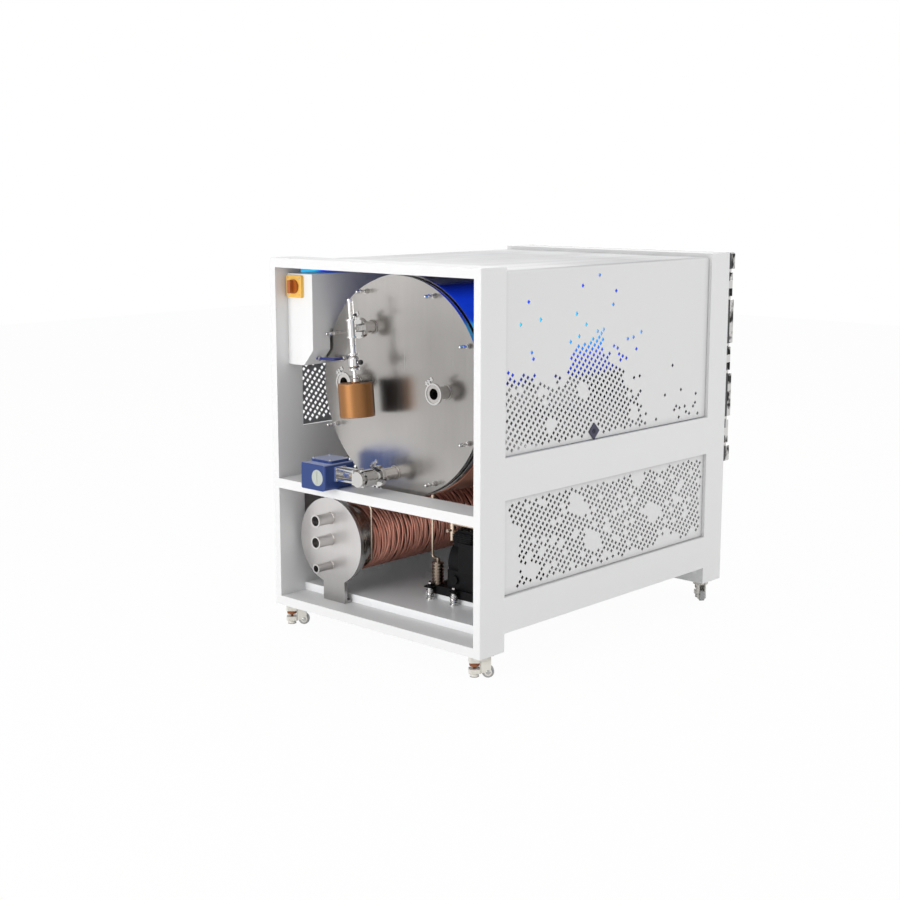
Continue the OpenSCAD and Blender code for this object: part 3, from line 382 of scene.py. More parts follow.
def brushedSteel(name, colour, roughness, stretch, contrast=0.18, coat=0.0):
    # fine parallel scratches; stretch is small along the brushing
    material, shader = newFinish(name, roughness, 1.0, coat)
    links = material.node_tree.links
    grain = addGroup(material, "grain", Stretch=stretch, Size=260.0, Contrast=contrast)
    clouds = addGroup(material, "clouds", Size=5.0, Sharpness=1.8)
    edge = addGroup(material, "edge", Radius=0.0016)
    # painted highlight: sharp edges are made lighter
    edgeHighlight = tuple(min(1.0, c * 1.35) for c in colour)
    mottleAndShade = tuple(c * 0.9 for c in colour)
    sheet = mixColours(material, clouds.outputs["Mask"], colour, mottleAndShade)
    sheet = mixColours(material, edge.outputs["Mask"], sheet, edgeHighlight)
    links.new(toneColour(material, sheet, grain.outputs["Tone"]), shader.inputs["Base Color"])
    rough = spread(material, grain.outputs["Height"], roughness - 0.07, roughness + 0.07)
    links.new(rough, shader.inputs["Roughness"])
    addBump(material, shader, grain.outputs["Height"], 0.06, 0.0002)
    return material


def mouldedPlastic(name, colour, roughness=0.45, speckle=0.06, coat=0.0):
    material, shader = newFinish(name, roughness, 0.0, coat)
    links = material.node_tree.links
    grain = addGroup(material, "grain", Size=700.0, Contrast=speckle)
    edge = addGroup(material, "edge", Radius=0.0012)
    # painted highlight: sharp edges are made lighter
    edgeHighlightColour = tuple(min(1.0, c * 1.25 + 0.02) for c in colour)
    body = mixColours(material, edge.outputs["Mask"], colour, edgeHighlightColour)
    links.new(toneColour(material, body, grain.outputs["Tone"]), shader.inputs["Base Color"])
    rough = spread(material, grain.outputs["Height"], roughness - 0.06, roughness + 0.08)
    links.new(rough, shader.inputs["Roughness"])
    addBump(material, shader, grain.outputs["Height"], 0.12, 0.0003)
    return material


def castMetal(name, colour, roughness, metallic, lumps=0.35):
    # sand casting under paint: coarse grain, worn brighter edges, dark corners
    material, shader = newFinish(name, roughness, metallic)
    links = material.node_tree.links
    grain = addGroup(material, "grain", Size=170.0, Contrast=0.25)
    edge = addGroup(material, "edge", Radius=0.002)
    crevice = addGroup(material, "crevice", Reach=0.015)
    worn = tuple(c * 1.8 + 0.03 for c in colour)
    dark = tuple(c * 0.5 for c in colour)
    body = mixColours(material, crevice.outputs["Mask"], colour, dark)
    body = mixColours(material, edge.outputs["Mask"], body, worn)
    links.new(toneColour(material, body, grain.outputs["Tone"]), shader.inputs["Base Color"])
    rough = spread(material, grain.outputs["Height"], roughness - 0.1, roughness + 0.15)
    links.new(rough, shader.inputs["Roughness"])
    addBump(material, shader, grain.outputs["Height"], lumps, 0.0008)
    return material


def axisRamp(material, axis, low, high, stops):
    # a colour ramp along one axis of the part, from low to high in metres
    tree = material.node_tree
    ramp = tree.nodes.new("ShaderNodeValToRGB")
    elements = ramp.color_ramp.elements
    elements[0].position, elements[0].color = stops[0][0], (*stops[0][1], 1)
    elements[1].position, elements[1].color = stops[-1][0], (*stops[-1][1], 1)
    for position, colour in stops[1:-1]:
        elements.new(position).color = (*colour, 1)
    tree.links.new(ramped(tree, partAxes(tree)[axis], low, high), ramp.inputs["Fac"])
    return ramp.outputs["Color"]


liner = {
    "cyan": (0.06, 0.55, 0.95),
    "blue": (0.01, 0.06, 0.80),
    "navy": (0.003, 0.006, 0.10),
    "black": (0.004, 0.004, 0.006),
    "lavender": (0.30, 0.26, 0.70),
    "neutral": (0.30, 0.30, 0.31),  # what the coat shows to diffuse light, so that it tints nothing
    "glow": 0.8,
}


def linerGloss():
    # blue lacquer with painted highlights in cyan and painted shade in navy and black, in bands across
    # the machine's width; it glows to the eye and in steel only, a painted glow
    material, shader = newFinish("linerGloss", 0.25, 0.0, 0.3)
    tree = material.node_tree
    links = tree.links
    low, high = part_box("blue_liners")
    # painted highlights and painted shade in bands across the width, up the wall and towards the
    # service end
    across = axisRamp(material, 0, low.x, high.x,
                      [(0.0, liner["cyan"]), (0.09, liner["cyan"]), (0.14, liner["blue"]),
                       (0.30, liner["blue"]), (0.42, liner["navy"]),
                       (0.54, liner["black"]), (0.72, liner["black"]), (0.78, liner["lavender"]),
                       (0.86, liner["blue"]), (0.90, liner["cyan"]), (0.94, liner["navy"]),
                       (1.0, liner["navy"])])
    rise = axisRamp(material, 2, low.z, high.z,
                    [(0.0, liner["navy"]), (0.2, liner["blue"]), (0.42, liner["cyan"]),
                     (0.55, liner["cyan"]), (0.7, liner["blue"]), (1.0, liner["blue"])])
    inward = axisRamp(material, 1, high.y - 0.30, high.y,
                      [(0.0, liner["black"]), (0.25, liner["navy"]), (0.45, liner["blue"]),
                       (0.62, liner["blue"]), (0.74, liner["cyan"]), (1.0, liner["cyan"])])
    axes = partAxes(tree)
    onWall = ramped(tree, axes[2], high.z - 0.012, high.z - 0.05)  # 0 under the roof
    paint = mixColours(material, onWall, across, rise)
    farWall = ramped(tree, axes[0], high.x - 0.12, high.x - 0.10)  # 1 beside the electrical box
    paint = mixColours(material, farWall, paint, inward)
    grain = addGroup(material, "grain", Size=40.0, Contrast=0.12)
    paint = toneColour(material, paint, grain.outputs["Tone"])
    rays = tree.nodes.new("ShaderNodeLightPath").outputs
    links.new(mixColours(material, rays["Is Diffuse Ray"], paint, liner["neutral"]),
              shader.inputs["Base Color"])
    # painted glow: the liner emits its own colour to camera and glossy rays
    links.new(paint, shader.inputs["Emission Color"])
    seen = mathNode(tree, "MAXIMUM", rays["Is Camera Ray"], rays["Is Glossy Ray"])
    links.new(mathNode(tree, "MULTIPLY", seen, liner["glow"]), shader.inputs["Emission Strength"])
    return material


def shadeAlong(material, axis, low, high, stops):
    # paints shade into a finished material along one axis; stops are (place, grey)
    shader = material.node_tree.nodes["Principled BSDF"]
    paint = shader.inputs["Base Color"].links[0].from_socket
    ramp = axisRamp(material, axis, low, high, [(at, (grey, grey, grey)) for at, grey in stops])
    material.node_tree.links.new(toneColour(material, paint, ramp), shader.inputs["Base Color"])
    return material


def endPlateSteel():
    # polished plate with painted shade on its rim, across its middle and towards the side that the
    # covers shade
    material = brushedSteel("plateSteel", (0.84, 0.81, 0.78), 0.24, (1.0, 1.0, 0.02), 0.1)
    low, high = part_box("chamber_end_plate")
    shadeAlong(material, 1, plateFace, plateFace + 0.01, [(0.0, 0.69), (0.3, 0.69), (1.0, 1.0)])
    shadeAlong(material, 2, low.z, high.z, [(0.0, 0.98), (0.3, 0.86), (0.55, 0.76), (0.75, 0.8),
                                            (1.0, 0.99)])
    shadeAlong(material, 0, low.x, high.x, [(0.0, 0.78), (0.31, 0.81), (0.48, 0.95), (0.7, 1.0),
                                            (1.0, 1.0)])
    return material


def condenserCover():
    # brushed cover with painted shade on its foot, where the cabinet shades it
    material = brushedSteel("coverSteel", (0.69, 0.67, 0.66), 0.36, (1.0, 1.0, 0.05), 0.08)
    low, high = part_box("condenser_end_plate")
    return shadeAlong(material, 2, low.z, high.z, [(0.0, 0.55), (0.26, 0.64), (0.5, 0.97),
                                                   (1.0, 1.0)])


def woundCopper():
    # drawn copper with painted shade towards its top and bottom; it throws a neutral light on what
    # lies under it
    material = brushedSteel("coilCopper", (0.92, 0.41, 0.31), 0.42, (1.0, 1.0, 1.0), 0.4)
    shader = material.node_tree.nodes["Principled BSDF"]
    shader.inputs["Metallic"].default_value = 0.75
    low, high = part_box("condenser_coil")
    shadeAlong(material, 2, low.z, high.z, [(0.0, 0.55), (0.2, 0.7), (0.42, 1.0), (0.66, 1.0),
                                            (0.9, 0.66), (1.0, 0.6)])
    rays = material.node_tree.nodes.new("ShaderNodeLightPath")
    paint = shader.inputs["Base Color"].links[0].from_socket
    seen = mixColours(material, rays.outputs["Is Diffuse Ray"], paint, (0.34, 0.35, 0.36))
    material.node_tree.links.new(seen, shader.inputs["Base Color"])
    return material


def coverPaint():
    # the covers' satin coat, with painted shade in its corners, on its inner faces and along its
    # contact lines, and a painted reflection in long soft grey streaks on its roofs
    material = coatedSteel("panelWhite", (0.77, 0.77, 0.77), 0.38, shade=0.4)
    tree = material.node_tree
    shader = tree.nodes["Principled BSDF"]
    reflectionStreaks = addGroup(material, "grain", Stretch=(1.0, 0.06, 1.0), Size=14.0, Contrast=0.9)
    facing, axes = facingAxes(tree), partAxes(tree)
    upward = ramped(tree, facing[2], 0.5, 0.98)
    inward = ramped(tree, mathNode(tree, "MULTIPLY", facing[0], axes[0]), -0.1, -0.4)
    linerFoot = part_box("blue_liners")[0].z
    below = ramped(tree, axes[2], linerFoot + 0.02, linerFoot - 0.01)
    shaded = mathNode(tree, "MULTIPLY", inward, below)  # inner faces under the liner
    paint = shader.inputs["Base Color"].links[0].from_socket
    # painted shade: the inner faces under the liner are made dark
    paint = mixColours(material, shaded, paint, (0.26, 0.26, 0.27))
    # painted shade: a thin dark line along the covers' contacts with the frame
    contactShade = addGroup(material, "crevice", Reach=0.007)
    contactShadeMask = spread(material, contactShade.outputs["Mask"], -0.6, 1.6)
    paint = mixColours(material, contactShadeMask, paint, (0.10, 0.10, 0.13))
    low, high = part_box("cover_left")
    # painted reflection: long grey streaks along the roofs, on the faces that look up
    roof = axisRamp(material, 1, low.y, high.y,
                    [(0.0, (0.56, 0.56, 0.57)), (0.3, (0.34, 0.34, 0.35)), (0.6, (0.42, 0.42, 0.43)),
                     (0.85, (0.62, 0.62, 0.62)), (1.0, (0.72, 0.72, 0.72))])
    roof = toneColour(material, roof, reflectionStreaks.outputs["Tone"])
    tree.links.new(mixColours(material, upward, paint, roof), shader.inputs["Base Color"])
    return material


def filterBronze():
    # sintered bronze with painted shade on its side towards the chamber
    material = castMetal("bronze", (0.30, 0.135, 0.045), 0.42, 0.7, 0.2)
    low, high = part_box("vent_filter")
    shadeAlong(material, 1, low.y, high.y, [(0.0, 0.08), (0.2, 0.12), (0.38, 0.85), (0.5, 1.0),
                                            (1.0, 1.0)])
    return material


footZone = {"top": 0.0455, "aside": 0.1126}  # the spring feet: height, distance from the middle


def compressorPaint():
    # black castings on bare steel spring feet
    material, shader = newFinish("compressorPaint", 0.5)
    shader.inputs["Specular IOR Level"].default_value = 0.12
    tree = material.node_tree
    links = tree.links
    low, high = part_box("compressor")
    axes = partAxes(tree)
    under = mathNode(tree, "LESS_THAN", axes[2], low.z + footZone["top"])
    aside = mathNode(tree, "SUBTRACT", axes[1], (low.y + high.y) / 2)
    outside = mathNode(tree, "GREATER_THAN", mathNode(tree, "ABSOLUTE", aside), footZone["aside"])
    feet = mathNode(tree, "MULTIPLY", under, outside)
    grain = addGroup(material, "grain", Size=170.0, Contrast=0.3)
    edge = addGroup(material, "edge", Radius=0.0015)
    # painted highlight: the black castings are made lighter along their edges
    body = mixColours(material, edge.outputs["Mask"], (0.006, 0.006, 0.007), (0.03, 0.03, 0.032))
    body = mixColours(material, feet, body, (0.66, 0.65, 0.64))
    links.new(toneColour(material, body, grain.outputs["Tone"]), shader.inputs["Base Color"])
    links.new(feet, shader.inputs["Metallic"])
    links.new(spread(material, feet, 0.5, 0.25), shader.inputs["Roughness"])
    addBump(material, shader, grain.outputs["Height"], 0.3, 0.0007)
    return material


def actuatorEnamel():
    # deep blue enamel with a painted sky reflection on the faces that look up, and a painted glow that
    # shows it in the steel behind
    material = castMetal("actuatorBlue", (0.009, 0.038, 0.18), 0.32, 0.0, 0.15)
    tree = material.node_tree
    shader = tree.nodes["Principled BSDF"]
    paint = shader.inputs["Base Color"].links[0].from_socket
    upward = ramped(tree, facingAxes(tree)[2], 0.6, 0.95)
    tree.links.new(mixColours(material, upward, paint, (0.36, 0.40, 0.58)),
                   shader.inputs["Base Color"])
    # painted glow: emission in glossy rays only
    shader.inputs["Emission Color"].default_value = (0.20, 0.28, 0.62, 1)
    rays = tree.nodes.new("ShaderNodeLightPath").outputs
    glow = mathNode(tree, "MULTIPLY", rays["Is Glossy Ray"], 0.6)  # shows it in the steel behind
    tree.links.new(glow, shader.inputs["Emission Strength"])
    return material


def pipeMetal():
    # bare line with painted shade where it runs down among the feet
    material = brushedSteel("pipeBeige", (0.74, 0.60, 0.48), 0.28, (1.0, 1.0, 0.1), 0.2)
    return shadeAlong(material, 2, 0.18, 0.46, [(0.0, 0.3), (0.5, 0.42), (0.78, 1.0), (1.0, 1.0)])


def doorMetal():
    # brushed plate whose upright edges are darkened in blotches
    material = brushedSteel("doorSteel", (0.62, 0.61, 0.60), 0.18, (0.03, 1.0, 1.0))
    tree = material.node_tree
    shader = tree.nodes["Principled BSDF"]
    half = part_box("door_plate")[1].x
    aside = mathNode(tree, "ABSOLUTE", partAxes(tree)[0])
    rim = ramped(tree, aside, half - 0.004, half - 0.002)  # 1 on the two upright edges
    rimBlotches = addGroup(material, "clouds", Size=22.0, Sharpness=9.0)
    paint = shader.inputs["Base Color"].links[0].from_socket
    dark = mixColours(material, rimBlotches.outputs["Mask"], (0.02, 0.02, 0.02), paint)
    tree.links.new(mixColours(material, rim, paint, dark), shader.inputs["Base Color"])
    return material


def footFinish():
    # dark rubber sole, ivory pad, orange thumb dial with painted shade at its foot and towards its
    # top, steel stem above it
    material, shader = newFinish("footParts", 0.5)
    links = material.node_tree.links
    low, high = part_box("foot_service_left")
    paint = axisRamp(material, 2, low.z, high.z,
                     [(0.0, (0.03, 0.03, 0.03)), (0.05, (0.75, 0.73, 0.68)), (0.2, (0.75, 0.73, 0.68)),
                      (0.4, (0.05, 0.02, 0.012)), (0.55, (0.30, 0.09, 0.02)),
                      (0.85, (0.16, 0.05, 0.02)), (1.0, (0.3, 0.3, 0.3))])
    grain = addGroup(material, "grain", Size=300.0, Contrast=0.15)
    links.new(toneColour(material, paint, grain.outputs["Tone"]), shader.inputs["Base Color"])
    addBump(material, shader, grain.outputs["Height"], 0.2, 0.0004)
    return material


finishes = {
    "frameWhite": coatedSteel("frameWhite", (0.80, 0.80, 0.80)),
    "panelWhite": coverPaint(),
    "boxWhite": coatedSteel("boxWhite", (0.82, 0.82, 0.82), 0.35),
    "deckGrey": coatedSteel("deckGrey", (0.93, 0.94, 0.95), 0.28),
    "linerGloss": linerGloss(),
    "plateSteel": endPlateSteel(),
    "shellSteel": brushedSteel("shellSteel", (0.58, 0.57, 0.56), 0.16, (1.0, 0.05, 1.0)),
    "shelfSteel": brushedSteel("shelfSteel", (0.60, 0.60, 0.60), 0.3, (1.0, 0.04, 1.0)),
    "brightSteel": brushedSteel("brightSteel", (0.66, 0.65, 0.64), 0.12, (1.0, 1.0, 1.0), 0.08),
    "doorSteel": doorMetal(),
    "condenserSteel": brushedSteel("condenserSteel", (0.52, 0.52, 0.51), 0.26, (1.0, 1.0, 0.05)),
    "coverSteel": condenserCover(),
    "lockSteel": brushedSteel("lockSteel", (0.06, 0.06, 0.08), 0.3, (1.0, 1.0, 1.0), 0.08),
    "copper": brushedSteel("copper", (0.42, 0.20, 0.14), 0.3, (1.0, 0.4, 1.0), 0.3),
    "coilCopper": woundCopper(),
    "pipeBeige": pipeMetal(),
    "weldSteel": castMetal("weldSteel", (0.42, 0.39, 0.36), 0.34, 1.0, 0.5),
    "bronze": filterBronze(),
    "castBlack": compressorPaint(),
    "satinBlack": mouldedPlastic("satinBlack", (0.018, 0.018, 0.02), 0.4),
    "sealRubber": mouldedPlastic("sealRubber", (0.015, 0.015, 0.015), 0.7, 0.2),
    "lockNavy": mouldedPlastic("lockNavy", (0.03, 0.03, 0.07), 0.35),
    "isolatorYellow": mouldedPlastic("isolatorYellow", (0.84, 0.50, 0.10), 0.4),
    "knobRed": mouldedPlastic("knobRed", (0.40, 0.095, 0.008), 0.35, 0.05, 0.3),
    "actuatorBlue": actuatorEnamel(),
    "indicatorGrey": mouldedPlastic("indicatorGrey", (0.46, 0.49, 0.45), 0.4),
    "castorIvory": coatedSteel("castorIvory", (0.72, 0.70, 0.64), 0.4),
    "wheelNylon": mouldedPlastic("wheelNylon", (0.38, 0.38, 0.39), 0.5),
    "gaugeBlue": mouldedPlastic("gaugeBlue", (0.02, 0.03, 0.20), 0.35),
    "valveBrass": castMetal("valveBrass", (0.50, 0.33, 0.13), 0.3, 1.0, 0.3),
    "zincSteel": brushedSteel("zincSteel", (0.46, 0.46, 0.45), 0.3, (1.0, 1.0, 1.0), 0.2),
    "footParts": footFinish(),
}
print("finishes made:", len(finishes))

castorPlaces = ["service_left", "service_right", "door_left", "door_right"]
nodeFinish = {
    "frameWhite": ["post_service_left", "post_service_right", "post_door_left", "post_door_right",
                   "side_mid_rails", "side_sills", "service_top_rail", "service_mid_rail",
                   "service_bottom_rail", "door_top_rail", "door_bottom_rail", "front_plate",
                   "chamber_saddles"],
    "panelWhite": ["cover_left", "cover_right", "grille_left", "grille_right"],
    "boxWhite": ["electrical_box"],
    "deckGrey": ["deck"],
    "linerGloss": ["blue_liners"],
    "lockNavy": ["lock_plates"],
    "plateSteel": ["chamber_end_plate"],
    "shellSteel": ["chamber_shell"],
    "shelfSteel": ["shelf_rack", "shelves"],
    "lockSteel": ["lock_left", "lock_right"],
    "brightSteel": ["vent_stack", "pipe_clamps", "drain_pipe",
                    "drain_valve", "door_brackets", "castor_plates"],
    "doorSteel": ["door_plate"],
    "condenserSteel": ["condenser_shell"],
    "coverSteel": ["condenser_end_plate"],
    "copper": ["chamber_coil", "condenser_coil"],
    "pipeBeige": ["refrigerant_pipes"],
    "bronze": ["vent_filter"],
    "castBlack": ["compressor"],
    "satinBlack": ["door_frame", "door_latch"],
    "sealRubber": ["door_gasket"],
    "isolatorYellow": ["isolator_plate"],
    "knobRed": ["isolator_knob"],
    "actuatorBlue": ["valve_actuator"],
    "indicatorGrey": ["valve_indicator"],
    "castorIvory": ["castor_" + place for place in castorPlaces],
    "wheelNylon": ["wheel_" + place for place in castorPlaces],
    "footParts": ["foot_" + place for place in castorPlaces],
}
for finish, names in nodeFinish.items():
    for name in names:
        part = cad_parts[name]
        part.data.materials.clear()
        part.data.materials.append(finishes[finish])
print("finishes on", sum(len(names) for names in nodeFinish.values()), "nodes")

# mesh helpers for the added pieces


def addPiece(name, bm, finish, body="cabinet", smoothTo=40.0, replaces=None):
    # closes the mesh up, gives it its finish and lets it ride on a body
    bmesh.ops.remove_doubles(bm, verts=bm.verts, dist=1e-6)
    bmesh.ops.recalc_face_normals(bm, faces=bm.faces)
    mesh = bpy.data.meshes.new(name)
    bm.to_mesh(mesh)
    bm.free()
    mesh.shade_smooth()
    mesh.set_sharp_from_angle(angle=math.radians(smoothTo))
    mesh.materials.append(finishes[finish])
    piece = bpy.data.objects.new(name, mesh)
    scene.collection.objects.link(piece)
    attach(piece, body)
    if replaces:
        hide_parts(replaces)
    return piece


def sideOf(axis):
    # any direction square to the axis
    helper = Vector((0, 0, 1)) if abs(axis.z) < 0.9 else Vector((1, 0, 0))
    return axis.cross(helper).normalized()


def addLathe(bm, origin, axis, profile, steps=20, turn=0.0):
    # spins a list of (radius, height) points round an axis through the origin
    axis = Vector(axis).normalized()
    side = Matrix.Rotation(turn, 3, axis) @ sideOf(axis)
    points = [bm.verts.new(Vector(origin) + side * radius + axis * height)
              for radius, height in profile]
    edges = [bm.edges.new(pair) for pair in zip(points, points[1:])]
    bmesh.ops.spin(bm, geom=points + edges, cent=origin, axis=axis, angle=math.tau,
                   steps=steps, use_merge=True)


def addRing(bm, origin, axis, radius, thick, steps=28, sides=8):
    # a round bead or seal: a circle spun about the axis
    loop = [(radius + thick * math.cos(math.tau * k / sides),
             thick * math.sin(math.tau * k / sides)) for k in range(sides)]
    addLathe(bm, origin, axis, loop + loop[:1], steps)


def addHexNut(bm, origin, axis, acrossFlats, height, turn=0.0):
    # six sides with both rims chamfered
    outer = acrossFlats / 2 / math.cos(math.pi / 6)
    rim = outer - height * 0.14
    addLathe(bm, origin, axis, [(0, 0), (rim, 0), (outer, height * 0.16), (outer, height * 0.84),
                                (rim, height), (0, height)], 6, turn)


def addHexBolt(bm, origin, axis, acrossFlats, height):
    # a washer with a hexagon head on it
    washer = height * 0.25
    addLathe(bm, origin, axis, [(0, 0), (acrossFlats * 0.72, 0), (acrossFlats * 0.72, washer),
                                (0, washer)], 18)
    addHexNut(bm, Vector(origin) + Vector(axis) * washer, axis, acrossFlats, height - washer,
              random.uniform(0, 1))


def addDome(bm, origin, axis, radius, height, steps=18):
    # a low round head
    arc = [(radius * math.cos(a), height * math.sin(a))
           for a in (math.radians(d) for d in (0, 20, 40, 60, 78))]
    addLathe(bm, origin, axis, arc + [(0, height)], steps)


def addTube(bm, path, radius, sides=10):
    # a round tube along a list of points, closed at both ends
    path = [Vector(point) for point in path]
    heading = (path[1] - path[0]).normalized()
    side = sideOf(heading)
    rings = []
    for k, point in enumerate(path):
        ahead = (path[min(k + 1, len(path) - 1)] - path[max(k - 1, 0)]).normalized()
        side = (side - ahead * side.dot(ahead)).normalized()
        up = ahead.cross(side)
        rings.append([bm.verts.new(point + radius * (side * math.cos(math.tau * n / sides)
                                                     + up * math.sin(math.tau * n / sides)))
                      for n in range(sides)])
    for first, second in zip(rings, rings[1:]):
        for n in range(sides):
            m = (n + 1) % sides
            bm.faces.new((first[n], first[m], second[m], second[n]))
    bm.faces.new(rings[0][::-1])
    bm.faces.new(rings[-1])


# the condenser's copper winding

winding = {
    "tube": 0.0043,  # radius of the copper tube
    "pitch": 0.0086,
    "wander": 0.0038,  # how far a turn strays along the shell
    "lift": 0.0014,  # how far it rides up where turns cross
    "strayWaves": (2.35, 5.15),  # how often a turn strays, and rides up, per turn
    "liftWaves": 3.4,
    "stepsPerTurn": 56,
}


def makeWinding():
    low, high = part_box("condenser_coil")
    axisX, axisZ = (low.x + high.x) / 2, (low.z + high.z) / 2
    outer = (high.x - low.x) / 2
    ring = outer - winding["tube"] - 2 * winding["lift"]
    start = high.y - winding["tube"] - winding["wander"] * 1.5
    length = start - low.y - winding["tube"] - winding["wander"] * 1.5
    turns = int(length / winding["pitch"])
    count = turns * winding["stepsPerTurn"]
    slow, quick = winding["strayWaves"]
    path = []
    for k in range(count + 1):
        t = math.tau * k / winding["stepsPerTurn"]
        stray = winding["wander"] * (math.sin(slow * t) + 0.5 * math.sin(quick * t + 1.0))
        lift = winding["lift"] * (1 + math.sin(winding["liftWaves"] * t + 0.5))
        radius = ring + lift
        path.append((axisX + radius * math.cos(t), start - length * k / count + stray,
                     axisZ + radius * math.sin(t)))
    bm = bmesh.new()
    addTube(bm, path, winding["tube"], 8)
    addPiece("condenser_winding", bm, "coilCopper", replaces="condenser_coil")
    print("winding made with", turns, "turns")


makeWinding()

# nuts, studs and weld beads on the chamber's end plate

endPlate = {
    "studRing": 0.368,
    "studAngles": (27, 63, 117, 153, 207, 243, 297, 333),
    "ports": ((0.2223, 0.0), (-0.2223, 0.0), (0.13806, 0.2028), (0.030, -0.31395)),
    "beadRadius": 0.0235,
    "bead": 0.0028,
    "innerNut": (0.0085, 0.0075),  # height over the plate, thickness
    "outerNut": (0.026, 0.009),
    "capPlace": 0.0352,
    "nutFlats": 0.013,
    "cap": ((0, 0), (0.0054, 0), (0.006, 0.0007), (0.006, 0.0125), (0.0052, 0.0148),
            (0.003, 0.0162), (0, 0.0166)),  # radius and height of a closed nut
}


def makeEndPlateParts():
    low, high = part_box("chamber_end_plate")
    centreX, centreZ = (low.x + high.x) / 2, (low.z + high.z) / 2
    studs = [(a, centreX + endPlate["studRing"] * math.cos(a),
              centreZ + endPlate["studRing"] * math.sin(a))
             for a in map(math.radians, endPlate["studAngles"])]
    nuts = bmesh.new()
    for a, x, z in studs:
        for (rise, thick), turn in ((endPlate["innerNut"], a), (endPlate["outerNut"], a + 0.4)):
            addHexNut(nuts, (x, plateFace + rise, z), (0, 1, 0), endPlate["nutFlats"], thick, turn)
    addPiece("stud_nuts", nuts, "brightSteel", smoothTo=25)
    beads = bmesh.new()
    for dx, dz in endPlate["ports"]:
        addRing(beads, (centreX + dx, plateFace + 0.0005, centreZ + dz), (0, 1, 0),
                endPlate["beadRadius"], endPlate["bead"], 40, 8)
    addPiece("port_weld_beads", beads, "weldSteel")
    caps = bmesh.new()
    for a, x, z in studs:
        addLathe(caps, (x, plateFace + endPlate["capPlace"], z), (0, 1, 0), endPlate["cap"], 14)
    addPiece("stud_caps", caps, "brightSteel")
    print("end plate parts made")


makeEndPlateParts()

# the blue gauge line from the electrical box to the end plate

gaugeLine = {
    "start": (0.384, 0.620, 1.0165),
    "end": (0.302, 0.620, 1.0190),
    "radius": 0.0048,
    "bend": 0.011,
    "foot": ((0, 0), (0.009, 0), (0.009, 0.004), (0.0072, 0.006), (0.0072, 0.009), (0, 0.009)),
    "nutPlace": 0.17,  # share of the way from start to end
    "nut": (0.016, 0.007),  # across flats, thickness
}


def makeGaugeLine():
    start, end = Vector(gaugeLine["start"]), Vector(gaugeLine["end"])
    run = (end - start).normalized()
    centre = end + Vector((0, -gaugeLine["bend"], 0))
    path = [start, start.lerp(end, 0.5), end]
    for k in range(1, 7):
        a = math.radians(15 * k)
        path.append(centre + run * gaugeLine["bend"] * math.sin(a)
                    + Vector((0, gaugeLine["bend"] * math.cos(a), 0)))
    path.append(Vector((path[-1].x, plateFace + 0.004, path[-1].z)))
    bm = bmesh.new()
    addTube(bm, path, gaugeLine["radius"], 14)
    addPiece("gauge_line", bm, "gaugeBlue")
    fittings = bmesh.new()
    addLathe(fittings, (path[-1].x, plateFace + 0.0002, path[-1].z), (0, 1, 0),
             gaugeLine["foot"], 20)
    addHexNut(fittings, start.lerp(end, gaugeLine["nutPlace"]), run, *gaugeLine["nut"], 0.3)
    addPiece("gauge_fittings", fittings, "brightSteel", smoothTo=30)
    print("gauge line made")


makeGaugeLine()

# weld beads round the condenser's stubs

condenser = {
    "stubs": ((0.087, 0.021), (0.006, 0.021), (-0.092, 0.015)),  # height over the axis, radius
    "plateThick": 0.014,
    "bead": 0.0016,
}


def makeCondenserParts():
    low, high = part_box("condenser_coil")
    axisX, axisZ = (low.x + high.x) / 2, (low.z + high.z) / 2
    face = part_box("condenser_shell")[1].y + condenser["plateThick"]
    beads = bmesh.new()
    for dz, radius in condenser["stubs"]:
        addRing(beads, (axisX, face + 0.0003, axisZ + dz), (0, 1, 0), radius + 0.0006,
                condenser["bead"], 32, 8)
    addPiece("stub_weld_beads", beads, "weldSteel")
    print("condenser parts made")


makeCondenserParts()

# springs and nuts of the compressor's feet

compressor = {
    "mountX": (-0.170, 0.078, 0.196),  # from the compressor's middle
    "mountY": 0.128,
    "springRadius": 0.0125,
    "springWire": 0.0022,
    "springTurns": 5,
    "springFoot": 0.007,
    "springHeight": 0.034,
    "nutPlace": 0.0585,
    "nut": (0.014, 0.007),  # across flats, thickness
    "middleFromEnd": 0.213,
    "stepsPerTurn": 18,
}


def makeCompressorParts():
    low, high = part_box("compressor")
    middleX = high.x - compressor["middleFromEnd"]
    middleY = (low.y + high.y) / 2
    feet = [(middleX + dx, middleY + side * compressor["mountY"])
            for dx in compressor["mountX"] for side in (-1, 1)]
    steps = compressor["springTurns"] * compressor["stepsPerTurn"]
    radius = compressor["springRadius"]
    springs = bmesh.new()
    for x, y in feet:
        path = []
        for k in range(steps + 1):
            t = math.tau * k / compressor["stepsPerTurn"]
            path.append((x + radius * math.cos(t), y + radius * math.sin(t),
                         low.z + compressor["springFoot"] + compressor["springHeight"] * k / steps))
        addTube(springs, path, compressor["springWire"], 6)
    addPiece("mount_springs", springs, "brightSteel")
    nuts = bmesh.new()
    for x, y in feet:
        addHexNut(nuts, (x, y, low.z + compressor["nutPlace"]), (0, 0, 1), *compressor["nut"])
    addPiece("mount_nuts", nuts, "brightSteel", smoothTo=25)
    print("compressor parts made")


makeCompressorParts()

# nuts, gland and lid bolts of the drain valve and its actuator

drainValve = {
    "tieRing": 0.028,  # ring of the four bolts that hold the valve's parts together
    "tieFlats": 0.010,
    "glandPlace": 0.0085,
    "gland": ((0, 0), (0.0165, 0), (0.0165, 0.009), (0.013, 0.011), (0.013, 0.020),
              (0.011, 0.022), (0, 0.022)),
    "tieNuts": ((0.0600, 1, 0.006), (0.0080, -1, 0.005)),  # place, way, thickness
    "stemPlace": 0.034,
    "bracketPlace": 0.037,
    "bracketBolt": 0.019,
    "bracketNut": (0.009, 0.005),  # across flats, thickness
    "lidBolts": (0.020, 0.018, 0.048),  # inset across, from the chamber's side, from the dial
    "lidHead": (0.008, 0.004),
}


